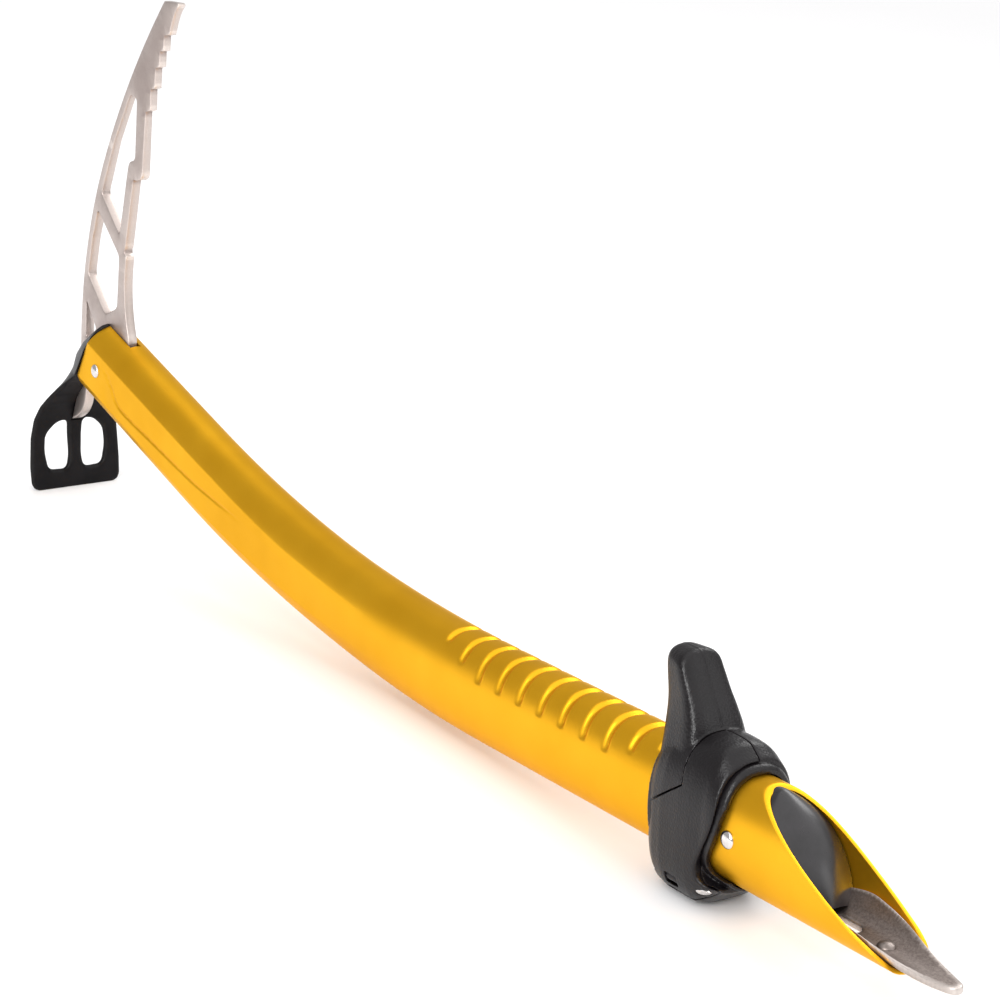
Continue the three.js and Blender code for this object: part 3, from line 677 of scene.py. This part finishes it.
def slot_outline(x0, x1, half):
    """Round-ended slot in plan, from its two ends and half width."""
    turn = np.linspace(-math.pi / 2, math.pi / 2, 13)
    right = np.c_[x1 - half + half * np.cos(turn), half * np.sin(turn)]
    left = np.c_[x0 + half - half * np.cos(turn), -half * np.sin(turn)]
    return np.vstack([right, left])


def build_shaft():
    """Tube with a wall, whose rows run down its outside, round the rim and back up its inside."""
    part, share, side_y, side_v = shaft_columns()
    part = part.astype(int)
    columns = len(part)

    def placed(stations, inset):
        """One row of vertices, and its heights; stations may differ from column to column."""
        y, v = section(stations, part, share)
        y, v = y * side_y, v * side_v
        dent = np.where(part == 2, facet_dent(stations, v), 0) + groove_dent(stations, v)
        y = y - np.sign(y) * np.minimum(np.abs(y), dent * np.abs(y) / HALF_WIDTH)
        v = v - groove_dent(stations, v) * v / HALF_DEPTH
        y, v = y * (1 - inset / HALF_WIDTH), v * (1 - inset / HALF_DEPTH)
        return beside_axis(stations, y, v), v

    def ends(inset, back):
        """Stations of the head end and of the scoop's edge at an inset, moved back from the rim."""
        _, v = placed(np.full(columns, -70.0), inset)
        start = head_end(v) + back
        _, v = placed(np.full(columns, GRIP_ZERO + 120), inset)
        return start, scoop_end(v) - back

    sharp = 28
    start, end = ends(0, RIM_START)
    inner_start, inner_end = ends(WALL, RIM_START)
    lean_from = GRIP_ZERO + 80  # from here the rows lean into the scoop
    inner_lean_from = GRIP_ZERO + 90
    # The rows are closest together where the grooves are pressed.
    middle = np.concatenate([
        np.arange(EVEN_START, 112, 1.1),
        np.arange(112, FIRST_GROOVE - 5, 3.0),
        np.arange(FIRST_GROOVE - 5, LAST_GROOVE + 5, 0.5),
        np.arange(LAST_GROOVE + 5.5, lean_from, 1.5),
    ])
    rows = [placed(start + (EVEN_START - start) * k / 12, 0)[0] for k in range(12)]
    rows += [placed(np.full(columns, s), 0)[0] for s in middle]
    rows += [placed(lean_from + (end - lean_from) * k / 40, 0)[0] for k in range(41)]
    rows += [placed(ends(inset, back)[1], inset)[0] for inset, back in (*RIM, (WALL, RIM_START))]
    rows += [placed(inner_end + (inner_lean_from - inner_end) * k / 30, WALL)[0] for k in range(1, 30)]
    rows += [placed(np.full(columns, s), WALL)[0] for s in np.linspace(GRIP_ZERO + 85, EVEN_START, 24)]
    rows.append(placed(inner_start, WALL)[0])
    rows += [placed(ends(inset, back)[0], inset)[0] for inset, back in reversed(RIM)]
    faces = grid_faces(len(rows), columns)
    last = (len(rows) - 1) * columns
    faces += [(last + k, last + (k + 1) % columns, (k + 1) % columns, k) for k in range(columns)]
    tube = new_piece("shaft", world(np.concatenate(rows)), faces, sharp)
    pick_slot = [(-40, 6), (SLOT_END_X, 6), (SLOT_END_X, 40), (-40, 40)]
    combine(tube, prism("pick_slot", pick_slot, -SLOT_HALF, SLOT_HALF))
    combine(tube, prism_up("slot_cutter", slot_outline(*WALL_SLOT), -70, -40))
    shade(tube, sharp)
    finish(tube, "gold_shaft", "axe", "shaft_tube")


# ---- Head ---------------------------------------------------------------------------------------

# The pick's side outline, in x and z: the edge and the foot of each step between its teeth.
TEETH = [
    [(42.3, 138.5), (38.2, 137.5)],
    [(37.8, 131.9), (34.9, 131.1)],
    [(34.6, 125.4), (31.5, 124.4)],
    [(31.0, 116.8), (27.8, 115.8)],
    [(27.6, 107.9), (23.8, 106.6)],
]
PICK_WINDOWS = [
    [
        (10.8, 111.4), (16.4, 110.6), (15.6, 86.8), (10.6, 85.2), (9.3, 80.6), (3.6, 55), (-12.6, 68.6),
        (-2.2, 91),
    ],
    [(-15.8, 61.4), (3.2, 46.6), (1.7, 25.4), (-8.2, 20.2), (-24.2, 33.4), (-20.8, 48)],
    [(-25.8, 22.6), (-16.4, 12.4), (-26, 6.4)],
]


def pick_outline():
    """From the point down the teeth to the tang and the tail, and back up the curved top edge."""
    points = [(38, 150.3), (48.2, 150.9), (49.1, 150.5), (49.0, 149.7)]
    points += list(bezier(points[-1], (44.9, 146.4), TEETH[0][0], 8))[:-1]
    for edge, step in TEETH:
        points += [edge, step]
    points += [(21.9, 81.8)]
    points += list(bezier(points[-1], (20.5, 79), (14.6, 78.9), 6))
    points += [(8.4, 50.8), (7.6, 50.0), (7.8, 48.6), (9.4, 47.6)]
    points += list(bezier(points[-1], (5.8, 30.5), (12.1, 15)))
    points += [(12.1, -14.5), (-18.5, -8.9)]
    points += list(bezier(points[-1], (-24.6, -8.4), (-25.2, -15), 8))
    points += list(bezier(points[-1], (-25.6, -26), (-38.4, -30.9)))
    points += list(bezier(points[-1], (-30.8, -14), (-30.4, 4)))
    points += list(bezier(points[-1], (-30.5, 76), (38, 150.3), 60))
    return np.array(points[:-1])


def build_pick():
    """Toothed plate, with its windows, tang and tail."""
    def place(points, side):
        """The plate is thinner towards its point."""
        half = 2.0 - 0.4 * smooth(points[:, 1], 60, 110)
        return world(np.c_[points[:, 0], side * half, points[:, 1]])

    holes = [rounded(window, 2) for window in PICK_WINDOWS]
    piece = plate("pick", pick_outline(), holes, place, 0.45, 0.2, 4.0, 1.2, sharp=60)
    finish(piece, "steel_plate", "axe", "pick_plate")


# Height, half width, x of the back and of the front on the middle line, and how far the back wraps forward.
ADZE_LEVELS = np.array([
    (17.5, 3.2, -6.2, -2.9, 0.3),
    (16.4, 5.8, -8.4, -3.6, 0.6),
    (12.0, 9.2, -16.0, -6.4, 0.96),
    (6.0, 10.6, -25.4, -9.9, 0.98),
    (0.0, 10.8, -31.8, -13.5, 0.98),
    (-6.0, 11.0, -34.0, -17.1, 0.96),
    (-12.0, 12.2, -36.4, -25.2, 0.88),
    (-18.0, 14.4, -38.8, -31.4, 0.75),
    (-24.0, 16.7, -40.8, -36.2, 0.55),
    (-30.0, 18.3, -42.0, -38.6, 0.3),
    (-38.0, 19.4, -42.4, -39.3, 0.15),
    (-50.0, 20.0, -41.4, -38.4, 0.12),
    (-57.0, 19.8, -39.8, -37.9, 0.1),
    (-59.0, 18.8, -39.2, -37.7, 0.1),
    (-60.0, 16.6, -38.8, -37.6, 0.1),
])
# One of the two windows of its blade, in y and z.
ADZE_WINDOW = [(3.3, -31.4), (8.2, -31.8), (13, -36.5), (13.6, -44), (12, -52), (3.8, -52.4), (2.7, -47)]


def level(z, column):
    """Value of an adze column at a height."""
    order = ADZE_LEVELS[::-1]
    return np.interp(z, order[:, 0], order[:, column])


def build_adze():
    """Pressing drawn flat in y and z, then laid onto its curved back and front."""
    sharp = 50
    side = ADZE_LEVELS[:, [1, 0]]
    outline = np.vstack([side, side[::-1] * [-1, 1]])
    halfway = (outline + np.roll(outline, -1, axis=0)) / 2
    outline = rounded(np.stack([outline, halfway], axis=1).reshape(-1, 2), 1.5, 3)

    def place(points, through):
        """The back wraps forward at both sides, as a hood round the head of the shaft."""
        y, z = points[:, 0], points[:, 1]
        half, back, front, wrap = (level(z, column) for column in (1, 2, 3, 4))
        across = np.clip(np.abs(y) / half, 0, 1)
        rear = back + (front - back) * wrap * across ** 2
        x = (rear + front) / 2 + (front - rear) / 2 * through
        return world(np.c_[x, y, z])

    windows = [rounded(np.array(ADZE_WINDOW) * [sign, 1], 2.6) for sign in (1, -1)]
    piece = plate("adze", outline, windows, place, 1.1, 0.8, 1.4, 0.8, sharp)
    tail_room = [
        (-30.9, 60), (-31.4, -6), (-34.2, -18), (-39.6, -31.4), (-38.4, -32), (-20, -32), (14, -17), (14, 60),
    ]
    combine(piece, prism("tail_room", tail_room, -SLOT_HALF, SLOT_HALF))
    shade(piece, sharp)
    finish(piece, "black_adze", "axe", "adze")


# Rivet head: radius and height above its seat, from the top down.
DOME = [(math.sin(a) * 2.75, math.cos(a) * 1.3) for a in np.linspace(0.04, math.pi / 2, 12)]
SHANK = 1.9  # radius


def build_cross_rivet(name, x, z, seat, node):
    """Rivet through the shaft: a dome on each side, its seat that far from the middle."""
    profile = [(r, seat + h) for r, h in DOME] + [(SHANK, seat), (SHANK, -seat)]
    profile += [(r, -seat - h) for r, h in reversed(DOME)]
    piece = turned(name, profile, lambda p: world(np.c_[x + p[:, 0], p[:, 2], z + p[:, 1]]))
    finish(piece, "rivet_steel", "axe", node)


# ---- Spike end ----------------------------------------------------------------------------------

SPIKE_THICKNESS = 2.3
SPIKE_RIVET_X = 461.5
# x and half width, from the spike's round rear end to its point.
SPIKE_OUTLINE = [
    (426.5, 2.2), (427.0, 4.2), (428.4, 5.9), (430.4, 7.3), (433, 8.4), (438, 9), (445, 9.3), (452, 9),
    (457, 8.6), (462, 8), (468, 6.9), (474.5, 5.6), (481.5, 4.2), (486.5, 2.9), (488.6, 2.2), (489.6, 1.4),
    (490, 0.5),
]


def wall_rise(y):
    """How far the bed in the shaft rises from its middle to a distance across."""
    share = np.clip(np.abs(y) / (HALF_WIDTH - BED), 0, 0.98)
    return (HALF_DEPTH - BED) * (1 - (1 - share ** GRIP_POWER) ** (1 / GRIP_POWER))


def spike_surface(points, side):
    """Metres of plan points on the spike, which follows the shaft's bed and flattens to its point."""
    x, y = points[:, 0], points[:, 1]
    base = beside_axis(GRIP_ZERO + (x - GRIP_ZERO_X), 0 * x, np.full(len(x), BED - HALF_DEPTH))[:, 2]
    rise = (1 - smooth(x, 466, 492)) * wall_rise(y)
    return world(np.c_[x, y, base + rise + (side + 1) / 2 * SPIKE_THICKNESS])


def build_spike():
    """Plate in the scoop, and the rivet that holds it."""
    half = spline(SPIKE_OUTLINE, 4)
    outline = np.vstack([half * [1, -1], half[::-1]])
    blade = plate("spike", outline, [slot_outline(*LEASH_SLOT)], spike_surface, 0.5, 0.45, 1.1, 0.8, sharp=55)
    finish(blade, "steel_plate", "axe", "spike_blade")
    seat = spike_surface(np.array([[SPIKE_RIVET_X, 0.0]]), np.array([1.0]))[0]
    low = -WALL - SPIKE_THICKNESS - 0.6
    profile = [(r, h + 0.02) for r, h in DOME] + [(SHANK, 0), (SHANK, low + 0.4)]
    profile += [(2.6, low + 0.3), (2.3, low - 0.5)]  # its flat head below the shaft
    rivet = turned("spike_rivet", profile, lambda p: seat + p * MM)
    finish(rivet, "rivet_steel", "axe", "spike_rivet")


def build_plug():
    """Black insert that closes the shaft; its outer face is crowned across and hollow along."""
    columns, levels = 41, 27
    across = np.sin(np.linspace(-math.pi / 2, math.pi / 2, columns))
    crown = 2.6 * (1 - across ** 2)
    curve = np.vstack([[(114, 14.8)], bezier((114, 14.8), (131, 8), (138, -11.8), levels - 1)])

    def width(v):
        """Half width of the plug at a height."""
        return float(oval_y(v, GRIP_POWER, HALF_WIDTH - BED, HALF_DEPTH - BED)) - 0.05

    front = np.array([
        beside_axis(GRIP_ZERO + along + crown * 0.75, across * width(v), v + crown * 0.66)
        for along, v in curve
    ])
    back = np.array([
        beside_axis(np.full(columns, GRIP_ZERO + 92), across * width(v), np.full(columns, v))
        for v in np.linspace(14.7, -14.7, levels)
    ])
    vertices = world(np.vstack([front.reshape(-1, 3), back.reshape(-1, 3)]))
    shift = levels * columns
    faces = grid_faces(levels, columns, closed=False)
    faces += [tuple(v + shift for v in f)[::-1] for f in faces]
    rim = list(range(columns))
    rim += [i * columns + columns - 1 for i in range(1, levels)]
    rim += [(levels - 1) * columns + k for k in range(columns - 2, -1, -1)]
    rim += [i * columns for i in range(levels - 2, 0, -1)]
    faces += [(a, b, b + shift, a + shift) for a, b in zip(rim, rim[1:] + rim[:1])]
    piece = new_piece("end_insert", vertices, faces, sharp=45)
    finish(piece, "black_insert", "axe", "end_plug")


# ---- Finger rest --------------------------------------------------------------------------------
# Drawn about the shaft's axis: x along the shaft towards the spike, z square to it, in millimetres.

HINGE = next(joint for joint in frame["joints"] if joint["name"] == "clamp_lever_hinge")
ALONG = np.array(HINGE["axis"], float)
ACROSS = np.array([0.0, 1.0, 0.0])
SQUARE = np.array([-ALONG[2], 0.0, ALONG[0]])
PIN_Y, PIN_Z, PIN_RADIUS = -12.0, -18.9, 1.0
REST_ZERO = np.array(HINGE["pos_m"]) - (ACROSS * PIN_Y + SQUARE * PIN_Z) * MM


def local(points):
    """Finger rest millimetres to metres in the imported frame."""
    points = np.asarray(points, float)
    return REST_ZERO + (points[:, [0]] * ALONG + points[:, [1]] * ACROSS + points[:, [2]] * SQUARE) * MM


FOOT_X = -4.0  # where the collar touches the floor
FOOT = (REST_ZERO[2] / MM + FOOT_X * ALONG[2]) / ALONG[0]  # its depth below the shaft's axis
# Distance along, half width, top and bottom.
COLLAR = np.array([
    (-12, 12.9, 18.6, FOOT - 5.3),
    (-11, 13.6, 20, FOOT - 3.1),
    (-8.5, 14.6, 22, FOOT - 0.9),
    (FOOT_X, 15.2, 23.8, FOOT),
    (4, 15.3, 24.9, FOOT),
    (8, 15.2, 25, FOOT),
    (11, 15, 24.9, FOOT - 1.1),
    (14, 14.8, 24.6, FOOT - 3.5),
    (15.6, 14.9, 24, FOOT - 4.9),
    (17, 14.9, 22.8, FOOT - 6),
    (19.3, 14.8, 20.9, FOOT - 7.2),
])
# Side outlines of the spike side, drawn in below the middle: for the collar and for the ring inside it.
COLLAR_FRONT = [
    (19.2, 9), (18.9, 5.5), (18.1, 2.7), (16.6, -1), (14.5, -5.1), (12.8, -9), (12.1, -12), (12.6, -14.2),
    (14, -15.6), (16.2, -16.4),
]
RING_FRONT = [
    (21.4, 9), (20.5, 5.6), (19.2, 1), (17.9, -2.3), (16.3, -5.4), (14.9, -8.6), (14.6, -10.8), (15.2, -12.4),
    (17, -13.4), (19.6, -13.9),
]


def beyond(outline):
    """What is taken away on the spike side of a drawn-in outline."""
    curve = spline(outline, 5)
    return prism("front", [*curve, (40, curve[-1][1] - 0.3), (40, curve[0][1] + 0.3)], -40, 40, local)


def oval(x, half, top, bottom, power, low_power):
    """Loop round the axis, with one exponent above it and one below it."""
    turn = angles_round(120)
    c, s = np.cos(turn), np.sin(turn)
    p = np.where(s > 0, power, low_power)
    height = np.where(s > 0, top, bottom)
    return local(np.c_[np.full(len(turn), x), half * signed_power(c, 2 / p), height * signed_power(s, 2 / p)])


def collar_skin(name):
    """Outside of the collar, as one closed body."""
    loops = []
    for x in np.linspace(COLLAR[0, 0], COLLAR[-1, 0], 70):
        half, top, low = (np.interp(x, COLLAR[:, 0], COLLAR[:, c]) for c in (1, 2, 3))
        loops.append(oval(x, half, top, low, 2.6, 4))
    collar = skin(name, loops)
    combine(collar, beyond(COLLAR_FRONT))
    return collar


def sleeve(name, sizes, grow):
    """Solid about the axis with the exponent of the grip, grown by a clearance."""
    return skin(name, [
        oval(x, half + grow, top + grow, low + grow, GRIP_POWER, GRIP_POWER) for x, half, top, low in sizes
    ])


# The ring inside the collar and the bore for the shaft: distance along, half width, top and bottom.
RING = [(-11.7, 13.9, 19.8, 18), (20.2, 13.9, 19.8, 18), (21, 13.6, 19.4, 17.9), (21.6, 13.1, 18.7, 17.8)]
BORE = [(x, HALF_WIDTH, HALF_DEPTH, HALF_DEPTH) for x in (-30, 30)]
# Height, back and front, and the half widths of its back and of its front.
HORN = np.array([
    (9, -12.4, 5.2, 13, 14.4),
    (14, -13.1, 5.2, 11.7, 13.5),
    (17, -13.8, 5.1, 10.5, 12.7),
    (20, -14.3, 4.8, 9.4, 12),
    (25, -15, 3.7, 8, 10.9),
    (28, -15.3, 2.5, 7.3, 10.2),
    (31, -15.6, 1, 6.8, 9.6),
    (33.6, -15.9, -0.6, 6.6, 9.1),
    (39, -16.6, -3.9, 6.4, 8.6),
    (42.4, -17, -5.8, 5.9, 8.1),
    (44.4, -16.8, -6.8, 4.6, 6.4),
    (45.5, -15.8, -7.6, 2.6, 3.8),
    (45.9, -14.4, -9, 1.2, 1.8),
])


def horn_skin(name):
    """The horn; its sections are nearly square ovals, wider in front than behind."""
    turn = angles_round(96)
    c, s = np.cos(turn), np.sin(turn)
    loops = []
    for z, back, front, back_half, front_half in spline(HORN, 6):
        x = (back + front) / 2 + (front - back) / 2 * signed_power(c, 0.5)
        half = back_half + (front_half - back_half) * (x - back) / (front - back)
        loops.append(local(np.c_[x, half * signed_power(s, 0.5), np.full(len(turn), z)]))
    return skin(name, loops)


def about_pin(name, profile, sides):
    """Solid turned about the hinge's axis: profile holds distance along it and radius."""
    turn = angles_round(sides)
    return skin(name, [
        local(np.c_[np.full(sides, x), PIN_Y + radius * np.cos(turn), PIN_Z + radius * np.sin(turn)])
        for x, radius in profile
    ])


def bar(name, radius, x0, x1):
    """Cylinder about the hinge's axis."""
    return about_pin(name, [(x0, radius), (x1, radius)], 48)


def block(name, x0, x1, z0, z1, y0, y1):
    """Block in the finger rest's frame."""
    return prism(name, [(x0, z0), (x1, z0), (x1, z1), (x0, z1)], y0, y1, local)


GAP = 0.3
LEVER_TOP_Y = 1.2
KNUCKLE = (-1.8, 3.2, 1.6)  # of the finger rest: both ends and radius
CAVITY = 2.4  # radius of its room in the lever
SWEPT = ((-28, 4.4), (9, 4.4), (13.5, 2.6), (28, 2.6))  # room round the pin: distance along and radius


def swept_room(clearance):
    """Room in which the lever's barrel turns, drawn in by a clearance."""
    return about_pin("swept", [(x, radius - clearance) for x, radius in SWEPT], 64)


def lever_space(grow):
    """Space that belongs to the lever, grown by a clearance."""
    slit = [(4.6, 11), (3.8, 16), (3.9, 21), (5.2, 34)]
    edge = [(-24, -8.4 + 3 * grow), *((x - grow, z + grow) for x, z in slit), (30, 34), (30, -9), (-24, -9)]
    space = prism("lever_space", edge, -30, LEVER_TOP_Y + grow, local)
    combine(space, block("low", -24, 30, -8.7, -40, -30, PIN_Y), "UNION")
    return space


def raise_mould_line(piece):
    """Fine ridge down the middle of the horn, where the two halves of its mould meet."""
    half_width, height, lowest = 0.4, 0.13, 25.6
    turn = np.stack([ALONG, ACROSS, SQUARE])
    for vertex in piece.data.vertices:
        _, y, z = turn @ (np.array(vertex.co) - REST_ZERO) / MM
        if z > lowest and abs(y) < half_width:
            vertex.co += vertex.normal * (height * (1 - abs(y) / half_width) * MM)


def build_finger_rest():
    """Collar and horn are made as one softened body, which is then split into finger rest and lever."""
    body = collar_skin("finger_rest")
    combine(body, horn_skin("horn"), "UNION")
    soften(body, 0.42, 7)
    lever = linked("clamp_lever_grip", body.data.copy())
    x0, x1, radius = KNUCKLE
    hole = (PIN_RADIUS + 0.08, -30, 30)

    knuckle = bar("knuckle", radius, x0, x1)
    combine(knuckle, block("web", x0 + 0.1, x1 - 0.1, PIN_Z - 1, PIN_Z + 1.3, PIN_Y, -6), "UNION")
    combine(knuckle, collar_skin("within"), "INTERSECT")
    combine(body, lever_space(GAP))
    combine(body, sleeve("ring", RING, 0), "UNION")
    combine(body, swept_room(0))
    combine(body, knuckle, "UNION")
    combine(body, sleeve("bore", BORE, 0.4))
    combine(body, beyond(RING_FRONT))
    combine(body, bar("pin_hole", *hole))
    soften(body, 0.27, 2, 40)
    raise_mould_line(body)
    finish(body, "grained_nylon", "finger_rest", "finger_rest_body")

    space = lever_space(0)
    combine(space, swept_room(GAP), "UNION")
    combine(lever, space, "INTERSECT")
    combine(lever, sleeve("ring", RING, GAP))
    combine(lever, bar("cavity", CAVITY, x0 - GAP, x1 + GAP))
    combine(lever, block("web_room", x0 - GAP, x1 + GAP, -30, -12, PIN_Y, 0))
    combine(lever, bar("pin_hole", *hole))
    soften(lever, 0.27, 2, 40)
    finish(lever, "grained_nylon", "clamp_lever", "clamp_lever")

    pin = bar("hinge_pin", PIN_RADIUS, -8.6, 18)
    combine(pin, collar_skin("flush"), "INTERSECT")
    finish(pin, "rivet_steel", "finger_rest", "lever_pin")


# ---- Floor, light and camera --------------------------------------------------------------------

def build_floor():
    """Plain pale paper, 18 m across."""
    half = 9.0
    mesh = bpy.data.meshes.new("floor")
    corners = [(-half, -half, 0), (half, -half, 0), (half, half, 0), (-half, half, 0)]
    mesh.from_pydata(corners, [], [(0, 1, 2, 3)])
    s = Surface("studio_paper", Roughness=0.9, Specular_IOR_Level=0.1)
    s.feed("Base Color", s.ramp(s.noise(900, 3), (0.3, (0.90, 0.895, 0.90)), (0.7, (0.93, 0.925, 0.93))))
    mesh.materials.append(s.material)
    linked("floor", mesh)


def aim(light, direction):
    """Turns a light so that it shines in a direction."""
    light.rotation_euler = direction.to_track_quat("-Z", "Y").to_euler()


def soft_light(name, position, target, size, power):
    """Rectangular light at a place, in metres, turned towards another."""
    light = bpy.data.lights.new(name, "AREA")
    light.shape = "RECTANGLE"
    light.size, light.size_y = size
    light.energy = power
    holder = linked(name, light)
    holder.location = position
    aim(holder, Vector(target) - Vector(position))


def build_lights():
    """Even light from all round, a soft sky and four soft panels."""
    studio = bpy.data.worlds.new("studio")
    studio.use_nodes = True
    background = studio.node_tree.nodes["Background"]
    background.inputs["Color"].default_value = (1, 1, 1, 1)
    background.inputs["Strength"].default_value = 0.5
    bpy.context.scene.world = studio
    sky = bpy.data.lights.new("sky", "SUN")
    sky.energy = 1.9
    sky.angle = math.radians(100)
    aim(linked("sky", sky), Vector((-0.30, -0.22, -1)))
    soft_light("front_left", (0.50, -0.75, 1.05), (0.15, 0, 0.02), (0.55, 0.40), 3.0)
    soft_light("back_right", (-0.3, 1.1, 0.9), (0.1, 0, 0.03), (0.8, 0.5), 5.0)
    soft_light("side_panel", (0.63, -0.87, 0.52), (0.16, 0, 0.04), (0.34, 0.45), 8.0)
    soft_light("right_front", (1.00, 0.62, 0.36), (0.16, 0, 0.03), (0.30, 0.45), 0.7)


def build_camera():
    """Long lens in front of the spike end, a little above the axe and to its left."""
    camera = bpy.data.cameras.new("camera")
    camera.sensor_width = 36
    camera.lens = 96.1
    camera.clip_end = 50
    holder = linked("camera", camera)
    right = Vector((0.5582, 0.82805, 0.05234))
    up = Vector((-0.28291, 0.13066, 0.9502))
    back = Vector((0.77998, -0.54521, 0.3072))
    turn = Matrix((right, up, back)).transposed().to_4x4()
    holder.matrix_world = Matrix.Translation(world([927.8, -460.2, 284.5])) @ turn
    bpy.context.scene.camera = holder


build_shaft()
build_pick()
build_adze()
build_cross_rivet("head_rivet_domes", 0, 0, seat=10.2, node="head_rivet")
end_x, _, end_z = (centre("end_rivet") - DRAWING_ZERO) / MM
build_cross_rivet("end_rivet_domes", end_x, end_z, seat=HALF_WIDTH, node="end_rivet")
build_spike()
build_plug()
build_finger_rest()
# These four keep their CAD shape.
for node in ("head_filler_left", "head_filler_right", "friction_pad_left", "friction_pad_right"):
    kept = frame["nodes"][node]
    kept.data.materials.clear()
    kept.data.materials.append(FINISHES["black_insert" if node.startswith("head") else "rubber_pad"])
build_floor()
build_lights()
build_camera()
bpy.context.scene.view_settings.view_transform = "Standard"
